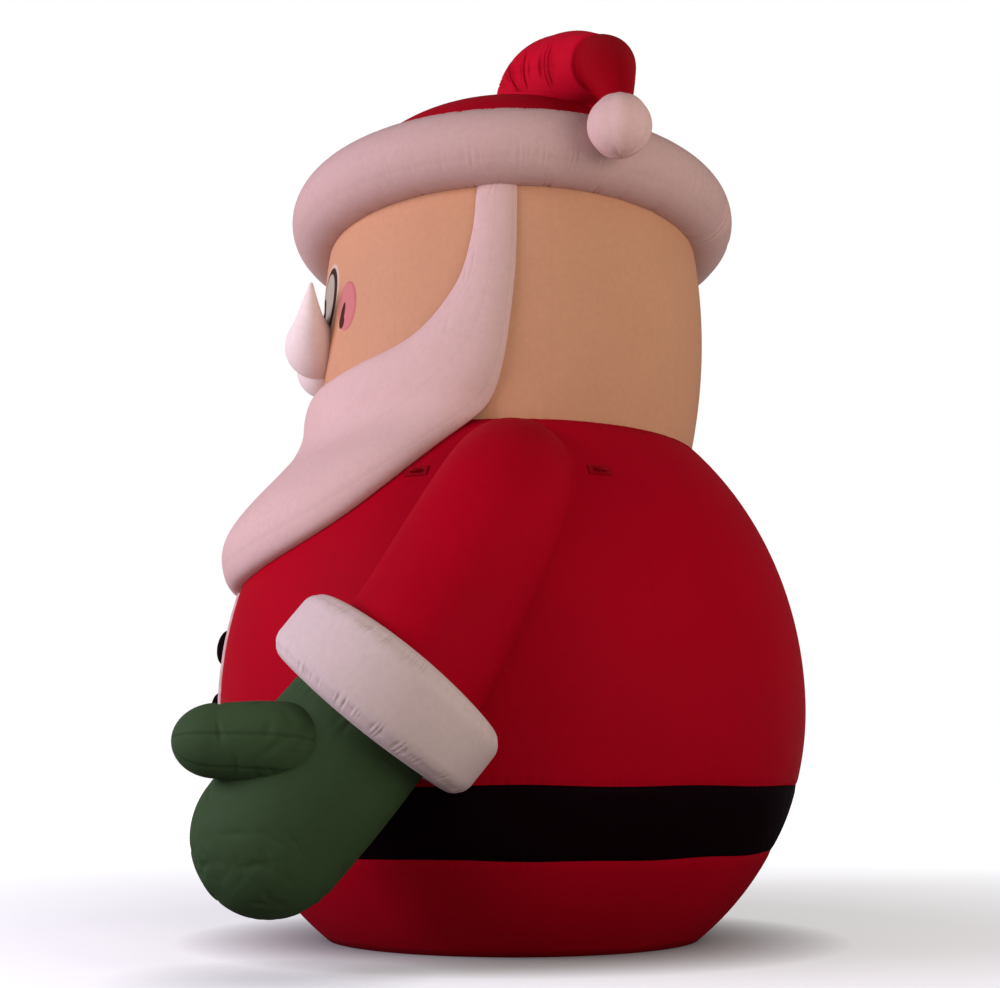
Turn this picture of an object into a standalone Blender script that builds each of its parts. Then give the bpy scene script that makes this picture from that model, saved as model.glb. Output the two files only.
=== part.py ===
"""Inflatable santa, about 7.7 m tall: air-filled bags of coloured nylon, sewn together.

Metres, +Z up. The figure faces -Y and its left hand is on +X. The origin is the centre of the
flat underside. Azimuths are degrees round the upright axis, 0 at the front and 90 at the left hand.
"""

import math

import bmesh
import bpy
from mathutils import Matrix, Vector

# Clearance that neighbouring skins keep, how fine the big turned bags are, and how far a patch
# starts inside the coat before it is trimmed to the coat's skin.
GAP = 0.0004
ROUND_STEPS = 34
PATCH_SINK = 0.04

# Coat: one egg-shaped bag that stands on a flat underside and ends flat under the head.
COAT_RADIUS = 2.43
COAT_WIDEST_HEIGHT = 1.90
COAT_RISE = 2.76
COAT_FALL = 2.43
COLLAR_HEIGHT = 3.99

# Belt: a black band sewn into the coat, flush with it, and its buckle patch.
BELT_LOW = 0.705
BELT_HIGH = 1.22
BELT_DEPTH = 0.03
BUCKLE_WIDTH = 0.66
BUCKLE_BORDER = 0.12
BUCKLE_OVERLAP = 0.04
BUCKLE_THICKNESS = 0.035

# Head: a barrel that stands on the coat's collar and ends flat inside the hat.
HEAD_HEIGHT = 2.21
HEAD_RADIUS = 1.665
HEAD_END_RADIUS = 1.54

# Hat: rolled brim, domed crown with a peak that folds over to the left, and a pompom.
BRIM_TUBE_RADIUS = 0.305
BRIM_STAND_OFF = 0.045
BRIM_BITE = 0.115
BRIM_BELOW_HEAD_TOP = 0.02
BRIM_TILT = 4.0
CROWN_RISE = 0.98
PEAK_BASE_RADIUS = 0.50
PEAK_TURN_RADIUS = 0.38
PEAK_TAIL_RADIUS = 0.20
PEAK_TIP_RADIUS = 0.10
PEAK_RISE = 0.10
PEAK_SETBACK = 0.37
PEAK_ROOT_OUT = 0.36
PEAK_CREST_OUT = 0.66
PEAK_ROOT_DEPTH = 0.50
PEAK_SAG = 0.20
POMPOM_RADIUS = 0.25
POMPOM_AZIMUTH = 112.0

# Beard: two sideburns that widen into a bib over the chin and the chest.
SIDEBURN_FRONT_AZIMUTH = 80.0
SIDEBURN_BACK_AZIMUTH = 91.6
SIDEBURN_THICKNESS = 0.05
BEARD_THICKNESS = 0.28
BEARD_WAIST = 0.20
BEARD_TIP_PUFF = 0.26
BEARD_TUCK_UNDER_BRIM = 0.06
CHIN_HEIGHT = 4.52
BEARD_TIP_HEIGHT = 2.80
BEARD_SINK = 0.12
COLLAR_BRIDGE = 0.24

# Moustache: two puffed lobes that meet under the nose, and the nose.
MOUSTACHE_HEIGHT = 4.91
MOUSTACHE_RADIUS = 0.25
MOUSTACHE_SPAN = 0.95
MOUSTACHE_TIP_RISE = 0.37
NOSE_RADIUS = 0.20
NOSE_HEIGHT = 5.10

# Arms: sleeve, rolled cuff and mitten, laid against the side of the coat.
SHOULDER_HEIGHT = 3.50
SHOULDER_RADIUS = 0.47
SHOULDER_SINK = 0.44
SLEEVE_LEAVES_BY = (1.0, 0.03, -0.065)
SLEEVE_RUN_IN = 0.33
SLEEVE_END_RADIUS = 0.57
CUFF_AZIMUTH = 72.0
CUFF_HEIGHT = 1.835
CUFF_OUT = 0.32
CUFF_WIDTH = 1.66
CUFF_DEPTH = 1.44
CUFF_LENGTH = 0.526
CUFF_ROUNDING = 0.152
FOREARM_DROP = 51.4
FOREARM_TOE_OUT = 4.0
PALM_WIDTH = 1.07
PALM_DEPTH = 0.86
PALM_LENGTH = 1.465
THUMB_RADIUS = 0.265
THUMB_REACH = 1.04
THUMB_ROOT_DOWN = 0.272
THUMB_ROOT_OUT = 0.01
THUMB_SPREAD = 0.295
THUMB_LIFT = 0.086

# Front of the coat: pale trim with domed buttons.
TRIM_WIDTH = 0.52
TRIM_THICKNESS = 0.045
TRIM_UNDER_BEARD = 0.15
BUTTON_RADIUS = 0.15
BUTTON_RISE = 0.075
BUTTON_HEIGHTS = (2.37, 1.84)
BUTTON_SINK = 0.03

# Tie-down points on the shoulders: a sewn patch with a loop for a rope.
TIE_AZIMUTHS = (68.6, 109.4)
TIE_HEIGHT = 3.53
TIE_PATCH_WIDTH = 0.18
TIE_PATCH_HEIGHT = 0.08
TIE_PATCH_THICKNESS = 0.012
TIE_LOOP_RADIUS = 0.045
TIE_ROPE_RADIUS = 0.012

HEAD_LOW = COLLAR_HEIGHT + GAP
HEAD_TOP = HEAD_LOW + HEAD_HEIGHT
BRIM_HEIGHT = HEAD_TOP - BRIM_BELOW_HEAD_TOP
BRIM_UNDERSIDE = BRIM_HEIGHT - BRIM_TUBE_RADIUS


def coat_radius(height):
    """Radius of the coat's skin at this height."""
    half = COAT_RISE if height > COAT_WIDEST_HEIGHT else COAT_FALL
    share = (height - COAT_WIDEST_HEIGHT) / half
    return COAT_RADIUS * math.sqrt(max(0.0, 1 - share * share))


def head_radius(height):
    """Radius of the head's skin at this height."""
    share = (height - HEAD_LOW) / HEAD_HEIGHT * 2 - 1
    return HEAD_RADIUS - (HEAD_RADIUS - HEAD_END_RADIUS) * share * share


BRIM_RING_RADIUS = head_radius(BRIM_UNDERSIDE) + BRIM_STAND_OFF


def figure_radius(height):
    """Head and coat as one outline, rounded where the beard bridges the collar."""
    head = head_radius(height) if height > COLLAR_HEIGHT - COLLAR_BRIDGE else 0.0
    coat = coat_radius(min(height, COLLAR_HEIGHT + COLLAR_BRIDGE))
    apart = max(COLLAR_BRIDGE - abs(head - coat), 0.0) / COLLAR_BRIDGE
    return max(head, coat) + apart * apart * COLLAR_BRIDGE / 4


def around(azimuth, radius, height):
    """The point at this azimuth, radius and height."""
    angle = math.radians(azimuth)
    return Vector((radius * math.sin(angle), -radius * math.cos(angle), height))


def through(points, share):
    """A smooth curve through the points, read at a share of 0 to 1 of its length in points."""
    place = min(share, 1.0) * (len(points) - 1)
    start = min(int(place), len(points) - 2)
    t = place - start
    before = points[max(start - 1, 0)]
    here = points[start]
    there = points[start + 1]
    after = points[min(start + 2, len(points) - 1)]
    bend = (2 * before - 5 * here + 4 * there - after) * t * t
    twist = (3 * here - before - 3 * there + after) * t * t * t
    return here + 0.5 * ((there - before) * t + bend + twist)


for item in list(bpy.data.objects):
    bpy.data.objects.remove(item)

figure = bpy.data.collections.new("inflatable_santa")
bpy.context.scene.collection.children.link(figure)
cutters = bpy.data.collections.new("cutters")
bpy.context.scene.collection.children.link(cutters)


def fabric(name, colour, roughness=0.55):
    """A coated nylon of one colour."""
    material = bpy.data.materials.new(name)
    material.use_nodes = True
    shader = material.node_tree.nodes["Principled BSDF"]
    shader.inputs["Base Color"].default_value = (*colour, 1.0)
    shader.inputs["Roughness"].default_value = roughness
    shader.inputs["Metallic"].default_value = 0.0
    return material


def placed(name, mesh, material):
    """An object of the figure that holds this mesh."""
    mesh.shade_smooth()
    mesh.set_sharp_from_angle(angle=math.radians(50))
    mesh.materials.append(material)
    piece = bpy.data.objects.new(name, mesh)
    figure.objects.link(piece)
    return piece


def as_helper(piece):
    """Moves an object to the cutters, which are not part of the figure."""
    figure.objects.unlink(piece)
    cutters.objects.link(piece)
    piece.hide_render = True
    piece.display_type = "WIRE"
    return piece


def turned(name, profile, material, closed=False):
    """A turned bag. The profile holds (radius, height) pairs, down the outside."""
    mesh = bpy.data.meshes.new(name)
    points = [(radius, 0.0, height) for radius, height in profile]
    edges = [(i, i + 1) for i in range(len(points) - 1)]
    if closed:
        edges.append((len(points) - 1, 0))
    mesh.from_pydata(points, edges, [])
    piece = placed(name, mesh, material)
    screw = piece.modifiers.new("turn", "SCREW")
    screw.axis = "Z"
    screw.angle = math.tau
    screw.steps = ROUND_STEPS
    screw.render_steps = ROUND_STEPS
    screw.use_merge_vertices = True
    screw.merge_threshold = 0.0001
    screw.use_smooth_shade = True
    return piece


def loft(name, rings, material):
    """A closed skin through rings of points. A ring of one point closes an end to a tip."""
    shape = bmesh.new()
    rows = [[shape.verts.new(point) for point in ring] for ring in rings]
    for low, high in zip(rows, rows[1:]):
        sides = max(len(low), len(high))
        for i in range(sides):
            j = (i + 1) % sides
            if len(low) == 1:
                shape.faces.new((low[0], high[j], high[i]))
            elif len(high) == 1:
                shape.faces.new((low[i], low[j], high[0]))
            else:
                shape.faces.new((low[i], low[j], high[j], high[i]))
    for end in (rows[0], rows[-1]):
        if len(end) > 1:
            shape.faces.new(end)
    bmesh.ops.triangulate(shape, faces=shape.faces)
    bmesh.ops.recalc_face_normals(shape, faces=shape.faces)
    mesh = bpy.data.meshes.new(name)
    shape.to_mesh(mesh)
    shape.free()
    return placed(name, mesh, material)


def grown(piece):
    """A cutter with the piece's present shape, larger by the gap that neighbours keep."""
    bpy.context.view_layer.update()
    evaluated = piece.evaluated_get(bpy.context.evaluated_depsgraph_get())
    mesh = bpy.data.meshes.new_from_object(evaluated)
    shape = bmesh.new()
    shape.from_mesh(mesh)
    shape.normal_update()
    for vertex in shape.verts:
        outward = piece.matrix_world.to_3x3() @ vertex.normal
        vertex.co = piece.matrix_world @ vertex.co + outward * 3 * GAP
    shape.to_mesh(mesh)
    shape.free()
    cutter = bpy.data.objects.new(piece.name + "_room", mesh)
    cutters.objects.link(cutter)
    cutter.hide_render = True
    cutter.display_type = "WIRE"
    return cutter


def boolean(piece, operation, others):
    """Cuts the others from the piece, or joins them to it."""
    for other in others:
        modifier = piece.modifiers.new(operation.lower(), "BOOLEAN")
        modifier.operation = operation
        modifier.solver = "EXACT"
        modifier.object = other


def frame_along(direction, outward):
    """Two axes square to a direction, the first as near to outward as it can be."""
    first = (outward - outward.dot(direction) * direction).normalized()
    return first, direction.cross(first)


def ring_of(centre, first, second, sides):
    """An ellipse of points whose half axes are the two vectors."""
    turns = [math.tau * i / sides for i in range(sides)]
    return [centre + first * math.cos(turn) + second * math.sin(turn) for turn in turns]


def swept(name, points, radii, sides, material, round_end=0.0):
    """A tube through the points with a radius at each, read smoothly between them."""
    steps = 4 * (len(points) - 1)
    spine = [through(points, i / steps) for i in range(steps + 1)]
    sizes = [through(radii, i / steps) for i in range(steps + 1)]
    outward = Vector((1, 0, 0))
    rings = []
    for i, centre in enumerate(spine):
        direction = (spine[min(i + 1, steps)] - spine[max(i - 1, 0)]).normalized()
        first, second = frame_along(direction, outward)
        outward = first
        rings.append(ring_of(centre, first * sizes[i], second * sizes[i], sides))
    if round_end:
        for turn in (30, 60):
            centre = spine[-1] + direction * round_end * math.sin(math.radians(turn))
            size = sizes[-1] * math.cos(math.radians(turn))
            rings.append(ring_of(centre, first * size, second * size, sides))
        rings.append([spine[-1] + direction * round_end])
    return loft(name, rings, material)


def coat_patch(name, azimuth, low, high, width, inner, outer, material, columns=4, rows=3):
    """A patch that follows the coat: its skin runs from inner to outer metres off the coat."""
    rings = []
    for i in range(rows + 1):
        height = low + (high - low) * i / rows
        radius = coat_radius(height)
        spread = math.degrees(width / radius)
        angles = [azimuth - spread / 2 + spread * j / columns for j in range(columns + 1)]
        ring = [around(angle, radius + outer, height) for angle in angles]
        ring += [around(angle, radius + inner, height) for angle in reversed(angles)]
        rings.append(ring)
    return loft(name, rings, material)


RED = fabric("red_nylon", (0.26, 0.004, 0.016))
BLACK = fabric("black_nylon", (0.006, 0.002, 0.003))
GOLD = fabric("yellow_nylon", (0.62, 0.36, 0.05))
SKIN = fabric("skin_nylon", (0.52, 0.26, 0.15))
WHITE = fabric("white_nylon", (0.62, 0.42, 0.40))
GREEN = fabric("green_nylon", (0.034, 0.060, 0.028))
WEBBING = fabric("dark_webbing", (0.09, 0.004, 0.010))


ABOVE_BELT = [COLLAR_HEIGHT - (COLLAR_HEIGHT - BELT_HIGH) * i / 8 for i in range(9)]
ON_BELT = [(BELT_HIGH + BELT_LOW) / 2]
BELOW_BELT = [BELT_LOW * (1 - i / 3) for i in range(4)]


def on_coat(levels, inset=0.0):
    """Outline points of the coat at these heights."""
    return [(coat_radius(height) - inset, height) for height in levels]


def coat_profile():
    """Outline of the coat from the collar down, with the groove that the belt fills."""
    groove = on_coat((BELT_HIGH, BELT_LOW), BELT_DEPTH)
    sides = on_coat(ABOVE_BELT) + groove + on_coat(BELOW_BELT)
    return [(0.0, COLLAR_HEIGHT)] + sides + [(0.0, 0.0)]


def belt_profile():
    """Closed outline of the belt band: flush outside, and clear of its groove."""
    low = BELT_LOW + GAP
    high = BELT_HIGH - GAP
    return on_coat([high] + ON_BELT + [low]) + on_coat((low, high), BELT_DEPTH - GAP)


coat = turned("coat", coat_profile(), RED)
belt = turned("belt", belt_profile(), BLACK, closed=True)

sewn_sides = on_coat(ABOVE_BELT + ON_BELT + BELOW_BELT)
coat_form = turned("coat_form", [(0.0, COLLAR_HEIGHT)] + sewn_sides + [(0.0, 0.0)], RED)
coat_room = grown(as_helper(coat_form))


def head_profile():
    """Barrel outline of the head, flat at both ends."""
    levels = [HEAD_TOP - HEAD_HEIGHT * i / 7 for i in range(8)]
    sides = [(head_radius(height), height) for height in levels]
    return [(0.0, HEAD_TOP)] + sides + [(0.0, HEAD_LOW)]


head = turned("head", head_profile(), SKIN)
head_room = grown(head)


def brim_profile():
    """Closed outline of the brim: a tube whose inner side lies flat on the head and crown."""
    bite = math.asin(BRIM_BITE / BRIM_TUBE_RADIUS)
    turns = [math.pi / 2 + bite - (math.pi + 2 * bite) * i / 8 for i in range(9)]
    outline = []
    for turn in turns:
        radius = BRIM_RING_RADIUS + BRIM_TUBE_RADIUS * math.cos(turn)
        outline.append((radius, BRIM_HEIGHT + BRIM_TUBE_RADIUS * math.sin(turn)))
    return outline


brim = turned("hat_brim", brim_profile(), WHITE, closed=True)
brim_pivot = Vector((BRIM_RING_RADIUS, 0, BRIM_HEIGHT))
brim_turn = Matrix.Rotation(-math.radians(BRIM_TILT), 4, "Y")
brim.matrix_world = Matrix.Translation(brim_pivot) @ brim_turn @ Matrix.Translation(-brim_pivot)
brim_room = grown(brim)


def crown_profile():
    """Dome of the hat, standing on the head inside the brim."""
    base = HEAD_TOP + GAP
    turns = [math.pi / 2 * i / 6 for i in range(7)]
    dome = [(HEAD_END_RADIUS * math.sin(turn), base + CROWN_RISE * math.cos(turn)) for turn in turns]
    return dome + [(0.0, base)]


POMPOM_PLACE = around(
    POMPOM_AZIMUTH,
    BRIM_RING_RADIUS + BRIM_TUBE_RADIUS + POMPOM_RADIUS + GAP,
    BRIM_HEIGHT,
)


def peak_path():
    """Middle line of the folded peak: up out of the dome, over, and down to the pompom."""
    dome_top = HEAD_TOP + CROWN_RISE
    root = Vector((PEAK_ROOT_OUT, PEAK_SETBACK, dome_top - PEAK_ROOT_DEPTH))
    rise = Vector((PEAK_ROOT_OUT * 1.1, PEAK_SETBACK, dome_top))
    crest = Vector((PEAK_CREST_OUT, PEAK_SETBACK * 1.4, dome_top + PEAK_RISE))
    tip = POMPOM_PLACE + Vector((0, 0, POMPOM_RADIUS * 0.7))
    over = crest.lerp(tip, 0.34) + Vector((0, PEAK_SAG * 0.7, PEAK_SAG))
    tail = crest.lerp(tip, 0.70) + Vector((0, PEAK_SAG * 0.3, PEAK_SAG * 0.8))
    return [root, rise, crest, over, tail, tip]


crown = turned("hat_crown", crown_profile(), RED)
boolean(brim, "DIFFERENCE", [head_room, grown(crown)])
peak_sizes = [PEAK_BASE_RADIUS, PEAK_BASE_RADIUS, PEAK_TURN_RADIUS]
peak_sizes += [PEAK_TAIL_RADIUS * 1.3, PEAK_TAIL_RADIUS, PEAK_TIP_RADIUS]
peak = as_helper(swept("hat_peak", peak_path(), peak_sizes, 14, RED))


def ball(name, centre, radius, rings, sides, material):
    """A round bag."""
    shape = bmesh.new()
    bmesh.ops.create_uvsphere(shape, u_segments=sides, v_segments=rings, radius=radius)
    bmesh.ops.translate(shape, verts=shape.verts, vec=centre)
    mesh = bpy.data.meshes.new(name)
    shape.to_mesh(mesh)
    shape.free()
    return placed(name, mesh, material)


pompom = ball("hat_pompom", POMPOM_PLACE, POMPOM_RADIUS, 10, 16, WHITE)
boolean(crown, "UNION", [peak])
boolean(crown, "DIFFERENCE", [grown(pompom)])

BEARD_TOP = BRIM_UNDERSIDE + BEARD_TUCK_UNDER_BRIM


def beard_edges(share):
    """Front and back edge of the beard, as (azimuth, height), from sideburn to middle."""
    drop = BEARD_TOP - CHIN_HEIGHT
    fall = BEARD_TOP - BEARD_TIP_HEIGHT
    front = [
        Vector((SIDEBURN_FRONT_AZIMUTH, BEARD_TOP)),
        Vector((SIDEBURN_FRONT_AZIMUTH - 1, BEARD_TOP - 0.33 * drop)),
        Vector((SIDEBURN_FRONT_AZIMUTH - 6, BEARD_TOP - 0.64 * drop)),
        Vector((SIDEBURN_FRONT_AZIMUTH * 0.76, BEARD_TOP - 0.89 * drop)),
        Vector((SIDEBURN_FRONT_AZIMUTH * 0.48, BEARD_TOP - 0.98 * drop)),
        Vector((SIDEBURN_FRONT_AZIMUTH * 0.24, CHIN_HEIGHT)),
        Vector((0.0, CHIN_HEIGHT)),
    ]
    back = [
        Vector((SIDEBURN_BACK_AZIMUTH, BEARD_TOP)),
        Vector((SIDEBURN_BACK_AZIMUTH - 1, BEARD_TOP - 0.28 * fall)),
        Vector((SIDEBURN_BACK_AZIMUTH - 6, BEARD_TOP - 0.54 * fall)),
        Vector((SIDEBURN_BACK_AZIMUTH * 0.80, BEARD_TOP - 0.675 * fall)),
        Vector((SIDEBURN_BACK_AZIMUTH * 0.57, BEARD_TOP - 0.88 * fall)),
        Vector((SIDEBURN_BACK_AZIMUTH * 0.30, BEARD_TOP - 0.975 * fall)),
        Vector((0.0, BEARD_TIP_HEIGHT)),
    ]
    return through(front, share), through(back, share)


def beard_puff(turn, swell):
    """How far the beard stands off the figure: drawn in below the chin, fuller near its tip."""
    share = (1 - math.cos(turn)) / 2
    thickness = SIDEBURN_THICKNESS + (BEARD_THICKNESS - SIDEBURN_THICKNESS) * swell**1.5
    waist = BEARD_WAIST * math.exp(-(((share - 0.44) / 0.16) ** 2))
    tip = BEARD_TIP_PUFF * math.exp(-(((share - 0.80) / 0.16) ** 2))
    return thickness * math.sin(turn) ** 0.8 * (1 + (tip - waist) * swell**3)


def beard_ring(signed_share, across=10):
    """One section of the beard, from its front edge over its puffed face to its back edge."""
    side = -1 if signed_share < 0 else 1
    front, back = beard_edges(1 - abs(signed_share))
    swell = math.sin(math.pi / 2 * (1 - abs(signed_share)))
    outside = []
    inside = []
    for i in range(across + 1):
        turn = math.pi * i / across
        share = (1 - math.cos(turn)) / 2
        spot = front.lerp(back, share)
        radius = figure_radius(spot.y)
        puff = beard_puff(turn, swell) if 0 < i < across else -BEARD_SINK
        outside.append(around(side * spot.x, radius + puff, spot.y))
        if i % 2 == 0 and 0 < i < across:
            inside.append(around(side * spot.x, radius - BEARD_SINK, spot.y))
    return outside + list(reversed(inside))


def beard_rings():
    """Sections from one sideburn round the front to the other."""
    count = 12
    return [beard_ring(i / count) for i in range(-count, count + 1)]


beard = loft("beard", beard_rings(), WHITE)
beard_room = grown(beard)
boolean(beard, "DIFFERENCE", [coat_room, head_room, brim_room])


def moustache_lobe(side):
    """One lobe: a puffed root beside the middle that thins to a tip curling up."""
    front = -head_radius(MOUSTACHE_HEIGHT)
    tip_height = MOUSTACHE_HEIGHT + MOUSTACHE_TIP_RISE
    path = [
        Vector((-0.02 * side, front, MOUSTACHE_HEIGHT + 0.04)),
        Vector((side * MOUSTACHE_SPAN * 0.40, front - 0.04, MOUSTACHE_HEIGHT)),
        Vector((side * MOUSTACHE_SPAN * 0.78, front - 0.03, tip_height - MOUSTACHE_TIP_RISE * 0.68)),
        Vector((side * MOUSTACHE_SPAN, front, tip_height)),
    ]
    shares = (0.72, 1.0, 0.52, 0.08)
    return swept(
        f"moustache_{side}",
        path,
        [MOUSTACHE_RADIUS * share for share in shares],
        12,
        WHITE,
        round_end=MOUSTACHE_RADIUS * 0.1,
    )


moustache = moustache_lobe(1)
moustache.name = "moustache"
boolean(moustache, "UNION", [as_helper(moustache_lobe(-1))])
moustache_room = grown(moustache)
boolean(moustache, "DIFFERENCE", [head_room, beard_room])

nose_place = Vector((0, -head_radius(NOSE_HEIGHT) - NOSE_RADIUS * 0.3, NOSE_HEIGHT))
nose = ball("nose", nose_place, NOSE_RADIUS, 10, 16, SKIN)
boolean(nose, "DIFFERENCE", [head_room, moustache_room])


def forearm(side):
    """Middle of the cuff, direction of the forearm, and its outward and crosswise axes."""
    reach = coat_radius(CUFF_HEIGHT) + CUFF_OUT
    middle = around(side * CUFF_AZIMUTH, reach, CUFF_HEIGHT)
    drop = math.radians(FOREARM_DROP)
    toe_out = math.radians(FOREARM_TOE_OUT)
    direction = Vector(
        (
            side * math.sin(toe_out) * math.cos(drop),
            -math.cos(toe_out) * math.cos(drop),
            -math.sin(drop),
        )
    )
    first, second = frame_along(direction, Vector((side, 0, 0)))
    return middle, direction, first, second


def sleeve_of(side, name):
    """Sleeve from inside the shoulder to the cuff's upper face."""
    middle, direction, _, second = forearm(side)
    end = middle - direction * (CUFF_LENGTH / 2 + GAP)
    start = around(side * 90, coat_radius(SHOULDER_HEIGHT) - SHOULDER_SINK, SHOULDER_HEIGHT)
    out, aft, up = SLEEVE_LEAVES_BY
    handle = start + Vector((side * out, aft, up))
    back = end - direction * SLEEVE_RUN_IN
    rings = []
    steps = 9
    for i in range(steps + 1):
        t = i / steps
        low = start * (1 - t) ** 3 + handle * 3 * t * (1 - t) ** 2
        centre = low + back * 3 * t * t * (1 - t) + end * t**3
        slope = (handle - start) * (1 - t) ** 2 + (back - handle) * 2 * t * (1 - t)
        tangent = (slope + (end - back) * t * t).normalized()
        across, along = frame_along(tangent, second)
        size = SHOULDER_RADIUS + (SLEEVE_END_RADIUS - SHOULDER_RADIUS) * t
        rings.append(ring_of(centre, across * size, along * size, 20))
    return loft(name, rings, RED)


def cuff_of(side, name):
    """Rolled cuff: a puffed oval drum round the wrist."""
    middle, direction, first, second = forearm(side)
    half = CUFF_LENGTH / 2
    rings = []
    turns = [math.radians(15 + 37 * i) for i in range(3)]
    for end in (-1, 1):
        row = []
        for turn in turns:
            inset = CUFF_ROUNDING * (1 - math.sin(turn))
            shift = half - CUFF_ROUNDING + CUFF_ROUNDING * math.cos(turn)
            centre = middle + direction * end * shift
            size_out = CUFF_DEPTH / 2 - inset
            size_across = CUFF_WIDTH / 2 - inset
            row.append(ring_of(centre, first * size_out, second * size_across, 24))
        rings += row if end < 0 else list(reversed(row))
    return loft(name, rings, WHITE)


def mitten_of(side, name):
    """Mitten: a long rounded palm from the cuff's lower face, with the thumb joined on."""
    middle, direction, first, second = forearm(side)
    start = middle + direction * (CUFF_LENGTH / 2 + GAP)
    cap = PALM_WIDTH / 2
    straight = PALM_LENGTH - cap
    rings = []
    for i in range(4):
        bulge = 1 + 0.03 * math.sin(math.pi * i / 3)
        centre = start + direction * straight * i / 3
        rings.append(
            ring_of(centre, first * PALM_DEPTH / 2 * bulge, second * PALM_WIDTH / 2 * bulge, 18)
        )
    for turn in (22, 43, 62, 78):
        angle = math.radians(turn)
        centre = start + direction * (straight + cap * math.sin(angle))
        size = math.cos(angle)
        rings.append(
            ring_of(centre, first * PALM_DEPTH / 2 * size, second * PALM_WIDTH / 2 * size, 18)
        )
    rings.append([start + direction * PALM_LENGTH])
    palm = loft(name, rings, GREEN)
    root = start + direction * THUMB_ROOT_DOWN + first * THUMB_ROOT_OUT
    forward = Vector((0, -THUMB_REACH, 0))
    spread = first * THUMB_SPREAD + Vector((0, 0, THUMB_LIFT))
    path = [root, root + spread * 0.85 + forward * 0.30, root + spread + forward * 0.72]
    sizes = [THUMB_RADIUS * 0.9, THUMB_RADIUS, THUMB_RADIUS * 0.92]
    thumb = swept(name + "_thumb", path, sizes, 14, GREEN, round_end=THUMB_REACH * 0.28)
    boolean(palm, "UNION", [as_helper(thumb)])
    return palm


for side, word in ((1, "left"), (-1, "right")):
    sleeve = sleeve_of(side, f"sleeve_{word}")
    boolean(sleeve, "DIFFERENCE", [coat_room, head_room, beard_room])
    cuff = cuff_of(side, f"cuff_{word}")
    boolean(cuff, "DIFFERENCE", [coat_room])
    mitten = mitten_of(side, f"mitten_{word}")
    boolean(mitten, "DIFFERENCE", [coat_room])

trim_low = BELT_HIGH + GAP
trim_top = BEARD_TIP_HEIGHT + TRIM_UNDER_BEARD
trim = coat_patch(
    "coat_trim", 0.0, trim_low, trim_top, TRIM_WIDTH, -PATCH_SINK, TRIM_THICKNESS, WHITE, 4, 7
)
trim_room = grown(trim)
boolean(trim, "DIFFERENCE", [coat_room, beard_room])


def button_of(height, name):
    """A domed button that stands on the trim, square to the coat's slope."""
    slope = (coat_radius(height + 0.01) - coat_radius(height - 0.01)) / 0.02
    outward = Vector((0, -1, -slope)).normalized()
    place = around(0, coat_radius(height) + TRIM_THICKNESS, height)
    first, second = frame_along(outward, Vector((1, 0, 0)))
    base = place - outward * BUTTON_SINK
    rings = [ring_of(base, first * BUTTON_RADIUS, second * BUTTON_RADIUS, 18)]
    for turn in (0, 25, 50, 72):
        angle = math.radians(turn)
        size = BUTTON_RADIUS * math.cos(angle)
        centre = place + outward * BUTTON_RISE * math.sin(angle)
        rings.append(ring_of(centre, first * size, second * size, 18))
    rings.append([place + outward * BUTTON_RISE])
    return loft(name, rings, BLACK)


for count, height in enumerate(BUTTON_HEIGHTS, 1):
    button = button_of(height, f"button_{count}")
    boolean(button, "DIFFERENCE", [trim_room])

buckle_low = BELT_LOW - BUCKLE_OVERLAP
buckle_high = BELT_HIGH - 2 * GAP
buckle = coat_patch(
    "belt_buckle", 0.0, buckle_low, buckle_high, BUCKLE_WIDTH, -PATCH_SINK, BUCKLE_THICKNESS, GOLD
)
window = as_helper(
    coat_patch(
        "buckle_window",
        0.0,
        buckle_low + BUCKLE_BORDER,
        buckle_high - BUCKLE_BORDER,
        BUCKLE_WIDTH - 2 * BUCKLE_BORDER,
        -2 * PATCH_SINK,
        2 * BUCKLE_THICKNESS,
        GOLD,
    )
)
boolean(buckle, "DIFFERENCE", [window, coat_room])


def tie_point(azimuth, name):
    """A sewn patch with an upright half loop for a rope."""
    low = TIE_HEIGHT - TIE_PATCH_HEIGHT / 2
    high = TIE_HEIGHT + TIE_PATCH_HEIGHT / 2
    thickness = TIE_PATCH_THICKNESS
    patch = coat_patch(
        name, azimuth, low, high, TIE_PATCH_WIDTH, -PATCH_SINK, thickness, WEBBING, 2, 1
    )
    place = around(azimuth, coat_radius(TIE_HEIGHT) + TIE_PATCH_THICKNESS / 2, TIE_HEIGHT)
    outward = around(azimuth, 1.0, 0.0)
    sideways = Vector((0, 0, 1)).cross(outward)
    rings = []
    for i in range(7):
        turn = math.pi * i / 6
        spoke = sideways * math.cos(turn) + outward * math.sin(turn)
        rings.append(
            ring_of(
                place + spoke * TIE_LOOP_RADIUS,
                spoke * TIE_ROPE_RADIUS,
                Vector((0, 0, TIE_ROPE_RADIUS)),
                6,
            )
        )
    boolean(patch, "UNION", [as_helper(loft(name + "_loop", rings, WEBBING))])
    boolean(patch, "DIFFERENCE", [coat_room, beard_room])
    return patch


for side, word in ((1, "left"), (-1, "right")):
    for azimuth, where in zip(TIE_AZIMUTHS, ("front", "back")):
        tie_point(side * azimuth, f"tie_loop_{word}_{where}")
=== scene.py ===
"""Inflatable santa in sewn nylon. Metres, +Z up; the figure faces -Y and its left hand is on +X.

Azimuths are in degrees round the upright axis: 0 at the front, 90 at the figure's left hand.
"""
import math

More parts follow.
